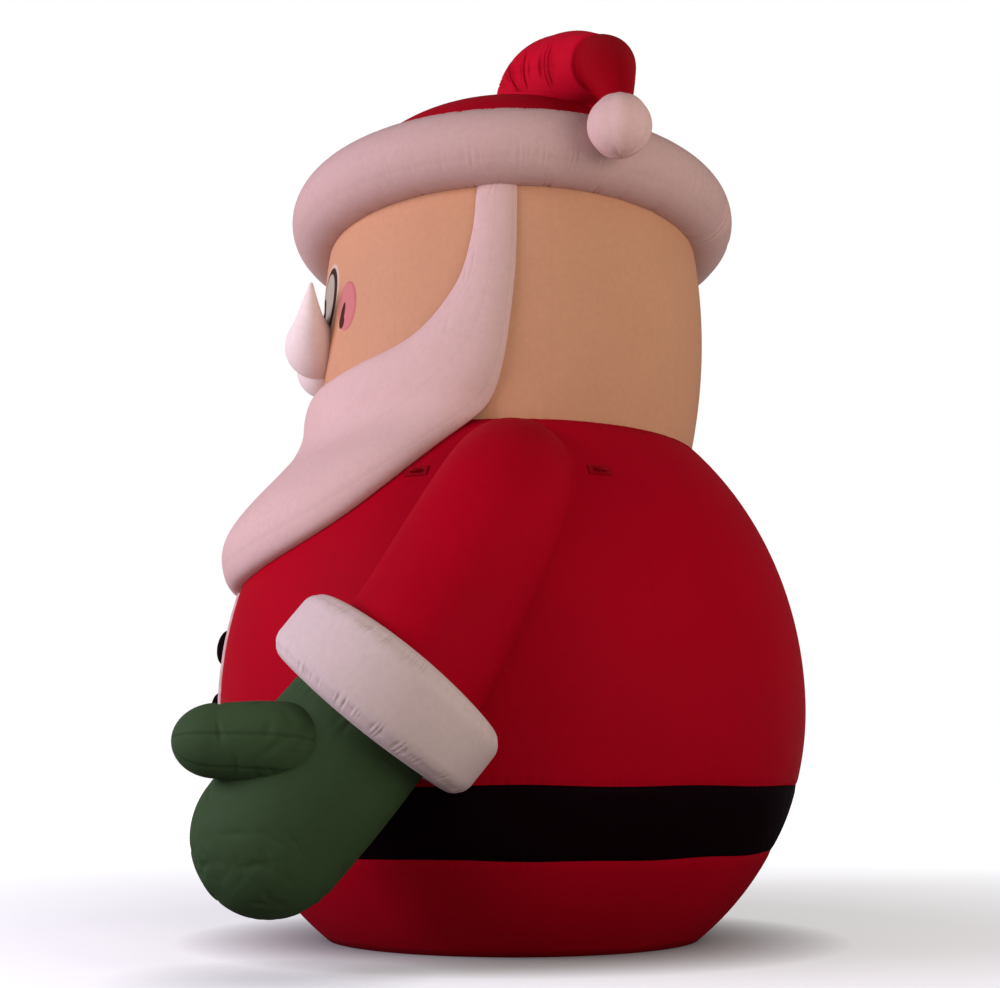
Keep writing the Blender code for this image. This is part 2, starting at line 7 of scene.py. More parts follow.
import bpy
import numpy as np
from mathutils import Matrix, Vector


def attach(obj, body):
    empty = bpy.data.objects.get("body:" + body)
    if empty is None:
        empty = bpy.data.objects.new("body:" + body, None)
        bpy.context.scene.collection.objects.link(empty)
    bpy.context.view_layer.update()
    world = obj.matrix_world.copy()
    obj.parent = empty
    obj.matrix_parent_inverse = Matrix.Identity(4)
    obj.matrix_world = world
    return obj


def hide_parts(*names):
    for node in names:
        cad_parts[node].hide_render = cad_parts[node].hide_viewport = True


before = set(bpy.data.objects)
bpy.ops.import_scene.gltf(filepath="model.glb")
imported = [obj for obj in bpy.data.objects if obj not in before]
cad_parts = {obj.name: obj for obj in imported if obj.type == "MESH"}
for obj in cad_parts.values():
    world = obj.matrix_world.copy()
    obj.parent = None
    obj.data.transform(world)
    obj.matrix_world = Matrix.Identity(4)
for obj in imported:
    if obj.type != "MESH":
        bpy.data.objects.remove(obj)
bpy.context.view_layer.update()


# Coat: one egg-shaped bag of red coated nylon, cut as upright gores and sewn edge to edge. A fan
# keeps it tight, so it is smooth but for the gathered stitches above and below the belt.
GAP = 0.0004
COAT_RADIUS = 2.43
COAT_WIDEST_HEIGHT = 1.90
COAT_RISE = 2.76
COAT_FALL = 2.43
COLLAR_HEIGHT = 3.99
BELT_LOW = 0.705
BELT_HIGH = 1.22
BELT_DEPTH = 0.03
COAT_GORES = 18
COAT_COLUMNS = 1100
ROWS_BELOW_BELT = 22
ROWS_ABOVE_BELT = 56
BELT_WANDER = 0.011
BELT_WANDER_REACH = 0.16
BELT_SEAM_DEPTH = 0.006
GORE_SEAM_DEPTH = 0.0008
GORE_PUFF = 0.001
RED = (0.375, 0.0008, 0.0105)


def coat_radius(height):
    """Radius of the coat's skin at this height."""
    half = np.where(height > COAT_WIDEST_HEIGHT, COAT_RISE, COAT_FALL)
    share = (height - COAT_WIDEST_HEIGHT) / half
    return COAT_RADIUS * np.sqrt(np.clip(1 - share * share, 0.0, None))


def ripple(turn, count, seed):
    """A lazy wave of about count swells round a closed seam, from -1 to 1."""
    total = 0.0
    for i in range(4):
        waves = max(1, round(count * (0.6 + 0.3 * i)))
        total = total + np.sin(waves * turn + seed * (1.3 + i) + i * i) / 4
    return total


def near(away, reach):
    """1 on a line, and fading out at about twice reach from it."""
    return np.exp(-((away / reach) ** 2))


def full_turn(columns):
    """Evenly spaced angles once round, in a row."""
    return np.linspace(0, math.tau, columns, endpoint=False)[None, :]


def gores(turn, count, shift, radius):
    """How far across its gore each point lies, 0 to 1, and its metres from the nearer seam."""
    share = (turn * count / math.tau + shift) % 1.0
    return share, np.minimum(share, 1 - share) * math.tau / count * radius


def tucks(turn, away, count, reach, seed, depth=1.0):
    """Depth of the small tucks that gather a seam, fading out at reach metres from it."""
    swing = ripple(turn, count * 0.3, seed) + 0.6 * ripple(turn, count * 0.11, seed + 2)
    strength = np.clip(0.5 + 0.9 * ripple(turn, count * 0.16, seed + 5), 0.05, 1.0)
    wave = (0.5 + 0.5 * np.sin(count * turn + 4.5 * swing)) ** 2
    length = reach * (0.35 + strength)
    return depth * (wave * strength * near(away, length))


def turned_grid(turn, radius, height):
    """Points round the upright axis. Each row has its own radius and height."""
    return np.stack([radius * np.sin(turn), -radius * np.cos(turn), height + 0 * radius * turn], axis=2)


def outward(grid, closed=True):
    """Unit normals of a grid of points whose columns run round and whose rows run along."""
    if closed:
        across = np.roll(grid, -1, axis=1) - np.roll(grid, 1, axis=1)
    else:
        across = np.gradient(grid, axis=1)
    normal = np.cross(across, np.gradient(grid, axis=0))
    return normal / np.maximum(np.linalg.norm(normal, axis=2, keepdims=True), 1e-9)


def metres_along(grid):
    """How far along the bag each row of the grid lies."""
    steps = np.linalg.norm(np.diff(grid, axis=0), axis=2).mean(axis=1)
    return np.concatenate([[0.0], np.cumsum(steps)])[:, None]


def placed(name, data):
    """An object with this data, in the scene."""
    made = bpy.data.objects.new(name, data)
    bpy.context.scene.collection.objects.link(made)
    return made


def sewn_skin(name, grid, slot, material, closed=True, seam=None, buried=None):
    """A fabric skin over a grid of points, with its cloth coordinates in metres. seam is 1 on the
    stitches, where it darkens the cloth; on the hat peak it also carries painted shade in the creases.
    Faces whose corners are all buried in a neighbour are left out."""
    rows, columns = grid.shape[:2]
    row, column = np.meshgrid(np.arange(rows - 1), np.arange(columns if closed else columns - 1),
                              indexing="ij")
    middle = grid[rows // 2]
    if closed:
        middle = np.concatenate([middle, middle[:1]])
    across = np.concatenate([[0.0], np.cumsum(np.linalg.norm(np.diff(middle, axis=0), axis=1))])
    along = metres_along(grid)[:, 0]
    corners = []
    cloth = []
    for right, up in ((0, 0), (1, 0), (1, 1), (0, 1)):
        corners.append((row + up) * columns + (column + right) % columns)
        cloth.append(np.stack([across[column + right], along[row + up]], 2))
    corners = np.stack(corners, axis=2).reshape(-1, 4)
    cloth = np.stack(cloth, axis=2).reshape(-1, 4, 2)
    if buried is not None:
        shown = ~buried.reshape(-1)[corners].all(axis=1)
        corners = corners[shown]
        cloth = cloth[shown]
    used, corners = np.unique(corners, return_inverse=True)
    corners = corners.reshape(-1, 4)
    mesh = bpy.data.meshes.new(name)
    mesh.vertices.add(len(used))
    mesh.vertices.foreach_set("co", grid.reshape(-1, 3)[used].astype(np.float32).ravel())
    mesh.loops.add(corners.size)
    mesh.loops.foreach_set("vertex_index", corners.astype(np.int32).ravel())
    mesh.polygons.add(len(corners))
    mesh.polygons.foreach_set("loop_start", np.arange(0, corners.size, 4, dtype=np.int32))
    mesh.update(calc_edges=True)
    mesh.uv_layers.new(name="cloth").data.foreach_set("uv", cloth.astype(np.float32).ravel())
    stitches = mesh.attributes.new("seam", "FLOAT", "POINT")
    marks = np.zeros(grid.shape[:2]) if seam is None else seam * np.ones(grid.shape[:2])
    stitches.data.foreach_set("value", marks.reshape(-1)[used].astype(np.float32))
    mesh.shade_smooth()
    mesh.validate()
    piece = placed(name, mesh)
    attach(piece, "root")
    mesh.materials.append(material)
    return piece


def fill(made, inputs):
    """Gives each input of a node its value, or a link when the value is a socket."""
    for key, value in inputs.items():
        if isinstance(value, bpy.types.NodeSocket):
            made.id_data.links.new(value, made.inputs[key])
        else:
            made.inputs[key].default_value = value


def node(tree, kind, inputs=None, **settings):
    """Adds a node with these inputs and settings."""
    made = tree.nodes.new(kind)
    for key, value in settings.items():
        setattr(made, key, value)
    fill(made, inputs or {})
    return made


def maths(operation, *values):
    """The result of one Math node, in the tree of the sockets among its values."""
    tree = next(value.id_data for value in values if isinstance(value, bpy.types.NodeSocket))
    return node(tree, "ShaderNodeMath", dict(enumerate(values)), operation=operation).outputs[0]


def tinted(tree, amount, first, second, blend="MIX"):
    """The colour from one Mix node."""
    mix = node(tree, "ShaderNodeMix", {0: amount, 6: first, 7: second}, data_type="RGBA", blend_type=blend)
    return mix.outputs[2]


def woven_nylon_group():
    """Plain-weave nylon: thread pattern, faint crinkles, uneven fading, and a darker colour on the seam
    marks: the stitches, and painted shade in the hat peak's creases.
    """
    tree = bpy.data.node_groups.new("woven nylon", "ShaderNodeTree")
    for name, kind in (("Cloth", "NodeSocketColor"), ("Fading", "NodeSocketFloat"),
                       ("Threads per metre", "NodeSocketFloat"), ("Crinkle", "NodeSocketFloat")):
        tree.interface.new_socket(name, in_out="INPUT", socket_type=kind)
    for name, kind in (("Colour", "NodeSocketColor"), ("Roughness", "NodeSocketFloat"),
                       ("Height", "NodeSocketFloat")):
        tree.interface.new_socket(name, in_out="OUTPUT", socket_type=kind)
    given = tree.nodes.new("NodeGroupInput").outputs
    place = node(tree, "ShaderNodeTexCoord").outputs
    cloth = node(tree, "ShaderNodeSeparateXYZ", {0: place["UV"]}).outputs
    turns = maths("MULTIPLY", given["Threads per metre"], math.pi)
    warp = maths("SINE", maths("MULTIPLY", cloth[0], turns))
    weft = maths("SINE", maths("MULTIPLY", cloth[1], turns))
    weave = maths("MULTIPLY", warp, weft)
    broad = node(tree, "ShaderNodeTexNoise", {"Vector": place["Object"], "Scale": 0.9, "Detail": 3.0})
    small = node(tree, "ShaderNodeTexNoise", {"Vector": place["Object"], "Scale": 22.0, "Detail": 5.0})
    crumple = node(tree, "ShaderNodeTexNoise", {"Vector": place["Object"], "Scale": 5.5, "Detail": 4.0,
                                                "Distortion": 0.8})
    seam = node(tree, "ShaderNodeAttribute", attribute_name="seam").outputs["Fac"]
    swing = maths("MULTIPLY", maths("SUBTRACT", broad.outputs["Fac"], 0.5), given["Fading"])
    grain = maths("MULTIPLY", maths("SUBTRACT", small.outputs["Fac"], 0.5), 0.16)
    threads = maths("MULTIPLY", weave, 0.03)
    light = maths("ADD", maths("ADD", swing, grain), maths("ADD", threads, 1.0))
    # The seam marks darken the colour by up to 30%: stitches, and on the hat peak painted crease shade.
    light = maths("MULTIPLY", light, maths("SUBTRACT", 1.0, maths("MULTIPLY", seam, 0.30)))
    shade = node(tree, "ShaderNodeCombineColor", {0: light, 1: light, 2: light}).outputs[0]
    colour = tinted(tree, 1.0, given["Cloth"], shade, "MULTIPLY")
    rough = maths("ADD", 0.52, maths("MULTIPLY", small.outputs["Fac"], 0.22))
    height = maths("MULTIPLY", crumple.outputs["Fac"], given["Crinkle"])
    height = maths("ADD", height, maths("MULTIPLY", weave, 0.05))
    node(tree, "NodeGroupOutput", {"Colour": colour, "Roughness": rough, "Height": height})
    return tree


WOVEN_NYLON = woven_nylon_group()


def nylon(name, colour, fading=0.25, threads=250.0, crinkle=0.5, specular=0.05, painted=None):
    """A coated nylon of one colour. painted may lay patches over the cloth's colour: prints, and on the face
    some painted light.
    """
    material = bpy.data.materials.new(name)
    material.use_nodes = True
    tree = material.node_tree
    cloth = painted(tree, (*colour, 1.0)) if painted else (*colour, 1.0)
    weave = node(tree, "ShaderNodeGroup", {"Cloth": cloth, "Fading": fading, "Threads per metre": threads,
                                           "Crinkle": crinkle}, node_tree=WOVEN_NYLON)
    relief = node(tree, "ShaderNodeBump", {"Height": weave.outputs["Height"], "Distance": 0.006,
                                           "Strength": 0.6})
    fill(tree.nodes["Principled BSDF"], {
        "Base Color": weave.outputs["Colour"], "Roughness": weave.outputs["Roughness"],
        "Normal": relief.outputs["Normal"], "Specular IOR Level": specular,
    })
    return material


red_nylon = nylon("red nylon", RED, fading=0.30, specular=0.02)

coat_turn = full_turn(COAT_COLUMNS)


def belt_wave(height):
    """How far the sewn belt edges wander up and down round the coat."""
    low = near(height - BELT_LOW, BELT_WANDER_REACH) * ripple(coat_turn, count=9, seed=1.0)
    high = near(height - BELT_HIGH, BELT_WANDER_REACH) * ripple(coat_turn, count=8, seed=4.0)
    return BELT_WANDER * (low + high)


def coat_relief(height):
    """Puffed gores, their seams, and the tucks at the belt, as metres off the plain skin."""
    gore, from_seam = gores(coat_turn, COAT_GORES, shift=0.25, radius=coat_radius(height))
    relief = -GORE_SEAM_DEPTH * near(from_seam, 0.018) + GORE_PUFF * np.sin(math.pi * gore)
    from_belt = np.minimum(abs(height - BELT_LOW), abs(height - BELT_HIGH))
    relief -= BELT_SEAM_DEPTH * near(from_belt, 0.030)
    relief -= tucks(coat_turn, from_belt, count=230, reach=0.05, seed=3.0, depth=0.006)
    from_collar = COLLAR_HEIGHT - height
    relief -= tucks(coat_turn, from_collar, count=130, reach=0.09, seed=6.0, depth=0.008)
    return relief, 0.10 * near(from_seam, 0.010)


def coat_bag(levels, extra=0.0):
    """Grid and seam marks of the coat's skin at these heights."""
    height = np.array(levels)[:, None]
    relief, seam = coat_relief(height)
    radius = coat_radius(height) + relief + extra
    return turned_grid(coat_turn, radius, height + belt_wave(height)), seam


lower_share = 1 - np.linspace(1, 0, ROWS_BELOW_BELT) ** 1.8
upper_share = np.linspace(0, 1, ROWS_ABOVE_BELT) ** 1.6
lower, lower_seam = coat_bag(BELT_LOW * lower_share)
upper, upper_seam = coat_bag(BELT_HIGH + (COLLAR_HEIGHT - BELT_HIGH) * upper_share)
groove, groove_seam = coat_bag((BELT_LOW, BELT_HIGH), -BELT_DEPTH)
underside = lower[:1] * [0.0, 0.0, 1.0]
collar_lid = upper[-1:] * [0.5, 0.5, 1.0]
coat = sewn_skin(
    "sewn_coat",
    np.concatenate([underside, lower, groove, upper, collar_lid]),
    "red_nylon", red_nylon,
    seam=np.concatenate([lower_seam[:1] * 0, lower_seam, groove_seam, upper_seam, upper_seam[:1] * 0]),
)
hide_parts("coat")


# Belt: a black nylon band sewn between the two red parts of the coat, with a yellow frame on the
# front for a buckle. The frame is a flat padded patch, stitched on at its edges.
BLACK = (0.0045, 0.0006, 0.0016)
GOLD = (0.62, 0.36, 0.05)
BUCKLE_WIDTH = 0.66
BUCKLE_BORDER = 0.12
BUCKLE_OVERLAP = 0.04
BUCKLE_THICKNESS = 0.035
BUCKLE_POINT_SPACING = 0.02
PATCH_ROWS = 13
BELT_ROWS = 12
BELT_PUFF = 0.006
EDGE_LIFT = 0.002

black_nylon = nylon("black nylon", BLACK, fading=0.5, crinkle=0.8, specular=0.015)
band_share = np.linspace(0, 1, BELT_ROWS)[:, None]
belt_height = BELT_LOW + (BELT_HIGH - BELT_LOW) * band_share
band_relief, band_seam = coat_relief(belt_height)
belt_puff = BELT_PUFF * np.sin(math.pi * band_share)
belt_line = belt_height + belt_wave(belt_height) + GAP * (2 - 4 * band_share)
band = turned_grid(coat_turn, coat_radius(belt_height) + band_relief + belt_puff, belt_line)
tucked = turned_grid(coat_turn, coat_radius(belt_height) - BELT_DEPTH + 4 * GAP + 0 * coat_turn,
                     belt_line)
belt = sewn_skin("sewn_belt", np.concatenate([tucked[:1], band, tucked[-1:]]), "black_nylon", black_nylon,
                 seam=np.concatenate([band_seam[:1], band_seam, band_seam[-1:]]))
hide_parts("belt")


def padded_band(name, path, half_width, thickness, slot, material):
    """A closed strip laid on the front of the coat along a path of (sideways, height) points."""
    path = np.array(path)
    ahead = np.roll(path, -1, axis=0) - path
    behind = path - np.roll(path, 1, axis=0)
    ahead = ahead / np.linalg.norm(ahead, axis=1, keepdims=True)
    behind = behind / np.linalg.norm(behind, axis=1, keepdims=True)
    side = np.stack([-(ahead + behind)[:, 1], (ahead + behind)[:, 0]], axis=1)
    side = side / (1 + (ahead * behind).sum(axis=1, keepdims=True))
    rows = []
    for turn in np.linspace(0, math.pi, PATCH_ROWS):
        place = path + side * half_width * math.cos(turn)
        lift = EDGE_LIFT + thickness * math.sin(turn) ** 0.6
        radius = coat_radius(place[:, 1]) + lift
        angle = place[:, 0] / coat_radius(place[:, 1])
        rows.append(np.stack([radius * np.sin(angle), -radius * np.cos(angle), place[:, 1]], axis=1))
    return sewn_skin(name, np.stack(rows), slot, material)


def rounded_frame(half_width, half_height, middle, corner, count):
    """Points round an upright rectangle with rounded corners, evenly spaced."""
    points = []
    for x, z, start in ((1, 1, 0), (-1, 1, 90), (-1, -1, 180), (1, -1, 270)):
        for step in range(count):
            turn = math.radians(start + 90 * step / (count - 1))
            points.append((x * (half_width - corner) + corner * math.cos(turn),
                           middle + z * (half_height - corner) + corner * math.sin(turn)))
    dense = []
    for here, there in zip(points, points[1:] + points[:1]):
        pieces = max(1, round(math.dist(here, there) / BUCKLE_POINT_SPACING))
        for step in range(pieces):
            dense.append(tuple(a + (b - a) * (step / pieces) for a, b in zip(here, there)))
    return dense


buckle_low = BELT_LOW - BUCKLE_OVERLAP
buckle_half = (BUCKLE_WIDTH - BUCKLE_BORDER) / 2
buckle = padded_band(
    "buckle_patch",
    rounded_frame(buckle_half, (BELT_HIGH - buckle_low - BUCKLE_BORDER) / 2,
                  (BELT_HIGH + buckle_low) / 2, corner=0.05, count=5),
    BUCKLE_BORDER / 2, BUCKLE_THICKNESS, "yellow_nylon", nylon("yellow nylon", GOLD),
)
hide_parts("belt_buckle")


# Head: a barrel of skin-coloured nylon that stands on the collar. Eyes, cheeks and smile lines are
# printed on flat cloth, in the same place on both sides of the face. In each eye the tan-grey fill is
# painted reflection and the small white glint a painted highlight.
HEAD_HEIGHT = 2.21
HEAD_RADIUS = 1.665
HEAD_END_RADIUS = 1.54
HEAD_LOW = COLLAR_HEIGHT + GAP
HEAD_TOP = HEAD_LOW + HEAD_HEIGHT
HEAD_GORES = 8
HEAD_COLUMNS = 400
HEAD_ROWS = 50
SKIN = (0.56, 0.27, 0.155)
PATCH_MEASURES = ("Azimuth", "Height", "Half width", "Half height", "Lean")
FACE_PATCHES = (
    # colour, azimuth in degrees, height, half width, half height, lean in degrees
    ((0.60, 0.42, 0.34, 1.0), 20.1, 5.245, 0.254, 0.336, -24.0),
    ((0.045, 0.018, 0.010, 1.0), 19.8, 5.245, 0.228, 0.308, -24.0),
    # tan-grey fill inside the eye's dark outline: painted reflection, the sheen of dark glossy cloth at a
    # glancing angle
    ((0.40, 0.33, 0.26, 1.0), 18.9, 5.245, 0.182, 0.262, -24.0),
    ((0.010, 0.008, 0.008, 1.0), 13.6, 5.20, 0.096, 0.138, -14.0),
    # small white glint on the pupil: painted highlight
    ((0.75, 0.72, 0.68, 1.0), 12.2, 5.26, 0.030, 0.042, 0.0),
    ((0.50, 0.135, 0.135, 1.0), 35.2, 5.10, 0.150, 0.206, -6.0),
    ((0.55, 0.175, 0.165, 1.0), 34.6, 5.10, 0.134, 0.198, -6.0),
    ((0.070, 0.020, 0.012, 1.0), 32.6, 5.04, 0.034, 0.108, -24.0),
    ((0.070, 0.020, 0.012, 1.0), 32.1, 4.985, 0.046, 0.058, -24.0),
)


def head_radius(height):
    """Radius of the head's skin at this height."""
    share = (height - HEAD_LOW) / HEAD_HEIGHT * 2 - 1
    return HEAD_RADIUS - (HEAD_RADIUS - HEAD_END_RADIUS) * share * share


def oval_patch_group():
    """An oval patch on the head's cloth, used for the prints and for the eyes' painted light: 1 inside it, 0
    outside.
    """
    tree = bpy.data.node_groups.new("oval patch", "ShaderNodeTree")
    for name in PATCH_MEASURES:
        tree.interface.new_socket(name, in_out="INPUT", socket_type="NodeSocketFloat")
    tree.interface.new_socket("Mask", in_out="OUTPUT", socket_type="NodeSocketFloat")
    given = tree.nodes.new("NodeGroupInput").outputs
    spot = node(tree, "ShaderNodeTexCoord").outputs["Object"]
    place = node(tree, "ShaderNodeSeparateXYZ", {0: spot}).outputs
    angle = maths("ARCTAN2", maths("ABSOLUTE", place[0]), maths("MULTIPLY", place[1], -1.0))
    sideways = maths("SUBTRACT", angle, maths("MULTIPLY", given["Azimuth"], math.pi / 180))
    sideways = maths("MULTIPLY", sideways, HEAD_RADIUS)
    upward = maths("SUBTRACT", place[2], given["Height"])
    lean = maths("MULTIPLY", given["Lean"], math.pi / 180)
    cosine = maths("COSINE", lean)
    sine = maths("SINE", lean)
    across = maths("ADD", maths("MULTIPLY", sideways, cosine), maths("MULTIPLY", upward, sine))
    along = maths("SUBTRACT", maths("MULTIPLY", upward, cosine), maths("MULTIPLY", sideways, sine))
    across = maths("POWER", maths("DIVIDE", across, given["Half width"]), 2.0)
    along = maths("POWER", maths("DIVIDE", along, given["Half height"]), 2.0)
    reach = maths("SQRT", maths("ADD", across, along))
    edge = node(tree, "ShaderNodeMapRange", {0: reach, 1: 0.98, 2: 1.02, 3: 1.0, 4: 0.0})
    node(tree, "NodeGroupOutput", {"Mask": edge.outputs[0]})
    return tree


OVAL_PATCH = oval_patch_group()


def face_print_and_painted_light(tree, colour):
    """Lays the face's patches over the plain cloth: prints, and in the eyes a painted reflection and a
    painted highlight.
    """
    for patch, *shape in FACE_PATCHES:
        oval = node(tree, "ShaderNodeGroup", dict(zip(PATCH_MEASURES, shape)), node_tree=OVAL_PATCH)
        colour = tinted(tree, oval.outputs["Mask"], colour, patch)
    return colour


skin_nylon = nylon("skin nylon", SKIN, fading=0.16, painted=face_print_and_painted_light)
head_turn = full_turn(HEAD_COLUMNS)
head_height = (HEAD_LOW + HEAD_HEIGHT * np.linspace(0, 1, HEAD_ROWS))[:, None]
head_gore, from_head_seam = gores(head_turn, HEAD_GORES, shift=0.76, radius=HEAD_RADIUS)
head_relief = -GORE_SEAM_DEPTH * near(from_head_seam, 0.02) + GORE_PUFF * np.sin(math.pi * head_gore)
from_neck = head_height - HEAD_LOW
head_relief = head_relief - tucks(head_turn, from_neck, count=110, reach=0.06, seed=2.0, depth=0.010)
head_grid = turned_grid(head_turn, head_radius(head_height) + head_relief, head_height)
head = sewn_skin("sewn_head", head_grid, "skin_nylon", skin_nylon,
                 seam=0.08 * near(from_head_seam, 0.010))
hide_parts("head")


# Sleeves: tapered tubes of the coat's red nylon, sewn to the shoulders and blown tight. They lie
# against the coat down to the cuffs, where small tucks gather them.
SHOULDER_HEIGHT = 3.50
SHOULDER_RADIUS = 0.47
SHOULDER_SINK = 0.44
SLEEVE_END_RADIUS = 0.57
SLEEVE_LEAVES_BY = (1.0, 0.03, -0.065)
SLEEVE_RUN_IN = 0.33
CUFF_AZIMUTH = 72.0
CUFF_HEIGHT = 1.835
CUFF_OUT = 0.32
CUFF_WIDTH = 1.66
CUFF_DEPTH = 1.44
CUFF_LENGTH = 0.526
CUFF_ROUNDING = 0.152
FOREARM_DROP = 51.4
FOREARM_TOE_OUT = 4.0
SLEEVE_INTO_CUFF = 0.06
SLEEVE_ROWS = 90
SLEEVE_COLUMNS = 150
SLEEVE_RUN = 2.4
BURIED_DEPTH = 0.06


def around(azimuth, radius, height):
    """The point at this azimuth, radius and height."""
    angle = math.radians(azimuth)
    return np.array([radius * math.sin(angle), -radius * math.cos(angle), height])


def unit(vector):
    return vector / np.linalg.norm(vector)


def frame_along(direction, out):
    """Two axes square to a direction, the first as near to out as it can be."""
    first = unit(out - out.dot(direction) * direction)
    return first, np.cross(direction, first)


def forearm(side):
    """Middle of the cuff, direction of the forearm, and its outward and crosswise axes."""
    reach = float(coat_radius(CUFF_HEIGHT)) + CUFF_OUT
    middle = around(side * CUFF_AZIMUTH, reach, CUFF_HEIGHT)
    drop = math.radians(FOREARM_DROP)
    toe_out = math.radians(FOREARM_TOE_OUT)
    direction = np.array([side * math.sin(toe_out) * math.cos(drop),
                          -math.cos(toe_out) * math.cos(drop), -math.sin(drop)])
    first, second = frame_along(direction, np.array([side, 0.0, 0.0]))
    return middle, direction, first, second


def laid_on(grid, skin_radius, gap):
    """Pushes points out of a turned neighbour, and says which were deep inside it."""
    reach = np.linalg.norm(grid[:, :, :2], axis=2)
    wanted = skin_radius(grid[:, :, 2]) + gap
    deep = reach < wanted - BURIED_DEPTH
    stretch = np.where(reach < wanted, wanted / np.maximum(reach, 1e-6), 1.0)
    laid = grid.copy()
    laid[:, :, :2] *= stretch[:, :, None]
    return laid, deep


def ring(turn, first, second):
    """Points round an oval whose half axes are first and second."""
    return np.outer(np.cos(turn), first) + np.outer(np.sin(turn), second)


def lifted(grid, relief):
    """The grid moved outward by relief."""
    return grid + outward(grid) * relief[:, :, None]


def tube(centres, out, sizes, turn):
    """Rings round a line of centres. Each starts on the side that out points to."""
    centres = np.array(centres)
    ahead = np.gradient(centres, axis=0)
    ahead = ahead / np.maximum(np.linalg.norm(ahead, axis=1, keepdims=True), 1e-9)
    rings = []
    for centre, direction, size in zip(centres, ahead, sizes):
        first, second = frame_along(direction, out)
        rings.append(centre + ring(turn, first, second) * size)
    return np.array(rings)


def coat_or_head(height):
    """Radius of the figure's skin, coat or head, at this height."""
    on_coat = coat_radius(np.minimum(height, COLLAR_HEIGHT))
    return np.where(height < COLLAR_HEIGHT, on_coat, head_radius(height))


def sleeve_of(side, word):
    middle, direction, _, second = forearm(side)
    end = middle - direction * (CUFF_LENGTH / 2 - SLEEVE_INTO_CUFF)
    start = around(side * 90, float(coat_radius(SHOULDER_HEIGHT)) - SHOULDER_SINK, SHOULDER_HEIGHT)
    out, aft, up = SLEEVE_LEAVES_BY
    handle = start + np.array([side * out, aft, up])
    back = end - direction * SLEEVE_RUN_IN
    centres = []
    sizes = []
    for t in np.linspace(0, 1, SLEEVE_ROWS):
        centres.append(start * (1 - t) ** 3 + handle * 3 * t * (1 - t) ** 2
                       + back * 3 * t * t * (1 - t) + end * t**3)
        sizes.append(SHOULDER_RADIUS + (SLEEVE_END_RADIUS - SHOULDER_RADIUS) * t)
    turn = full_turn(SLEEVE_COLUMNS)
    grid = tube(centres, second, sizes, turn[0])
    from_cuff = (np.linspace(1, 0, SLEEVE_ROWS) * SLEEVE_RUN)[:, None]
    from_seam = from_cuff - SLEEVE_INTO_CUFF
    relief = -tucks(turn, from_seam, count=60, reach=0.12, seed=2.0 + side, depth=0.010)
    relief += 0.004 * ripple(turn, count=5, seed=3.0) * np.sin(from_cuff * 2.2)
    grid, deep = laid_on(lifted(grid, relief), coat_or_head, EDGE_LIFT)
    sleeve = sewn_skin(f"sewn_sleeve_{word}", grid, "red_nylon", red_nylon, buried=deep)
    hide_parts(f"sleeve_{word}")


# Cuffs: thick white rolls round the wrists. Each is a band gathered on both edges, so that short
# tucks run in from the two edge seams.
CUFF_BULGE = 0.16
CUFF_LIP = ((0.012, 0.07), (0.045, 0.16))
CUFF_COLUMNS = 760
CUFF_ROWS = 40
CUFF_MIDDLE_BEND = 3.0
CUFF_SEAM_IN = 0.30
CUFF_SEAM_DEPTH = 0.003
CUFF_LIFT = 0.003
CUFF_WHITE = (0.64, 0.49, 0.46)
cuff_nylon = nylon("cuff nylon", CUFF_WHITE, fading=0.14, crinkle=0.7)


def faces_in(grid):
    """Whether the normals of the grid point into its bag."""
    from_middle = grid - grid.mean(axis=(0, 1))
    return np.einsum("ijk,ijk->ij", outward(grid), from_middle).mean() < 0


def cuff_of(side, word):
    middle, direction, first, second = forearm(side)
    half = CUFF_LENGTH / 2
    profile = []
    for bend in np.linspace(-90, 90, CUFF_ROWS):
        angle = math.radians(bend)
        flat = (half - CUFF_ROUNDING) * np.sign(bend) if abs(bend) > CUFF_MIDDLE_BEND else 0.0
        profile.append((flat + CUFF_ROUNDING * math.sin(angle), CUFF_ROUNDING * (1 - math.cos(angle))))
    for back, inset in CUFF_LIP:
        profile.insert(0, (back - half, CUFF_ROUNDING + inset))
        profile.append((half - back, CUFF_ROUNDING + inset))
    turn = full_turn(CUFF_COLUMNS)
    fuller = 1 + CUFF_BULGE * np.cos(turn[0])[:, None] ** 2
    rows = []
    for shift, inset in profile:
        oval = ring(turn[0], first * (CUFF_DEPTH / 2 - inset), second * (CUFF_WIDTH / 2 - inset))
        rows.append(middle + direction * shift * fuller + oval)
    grid = np.array(rows)[::-1]
    if faces_in(grid):
        grid = grid[::-1]
    along = metres_along(grid)
    low_edge = abs(along - CUFF_SEAM_IN)
    high_edge = abs(along - (along[-1, 0] - CUFF_SEAM_IN))
    relief = -tucks(turn, low_edge, count=150, reach=0.040, seed=1.0 + side, depth=0.012)
    relief -= tucks(turn, high_edge, count=120, reach=0.035, seed=4.0 + side, depth=0.010)
    relief -= CUFF_SEAM_DEPTH * (near(low_edge, 0.02) + near(high_edge, 0.02))
    grid, deep = laid_on(lifted(grid, relief), coat_radius, CUFF_LIFT)
    seam = 0.12 * (near(low_edge, 0.008) + near(high_edge, 0.008))
    cuff = sewn_skin(f"sewn_cuff_{word}", grid, "white_nylon", cuff_nylon, seam=seam, buried=deep)
    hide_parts(f"cuff_{word}")


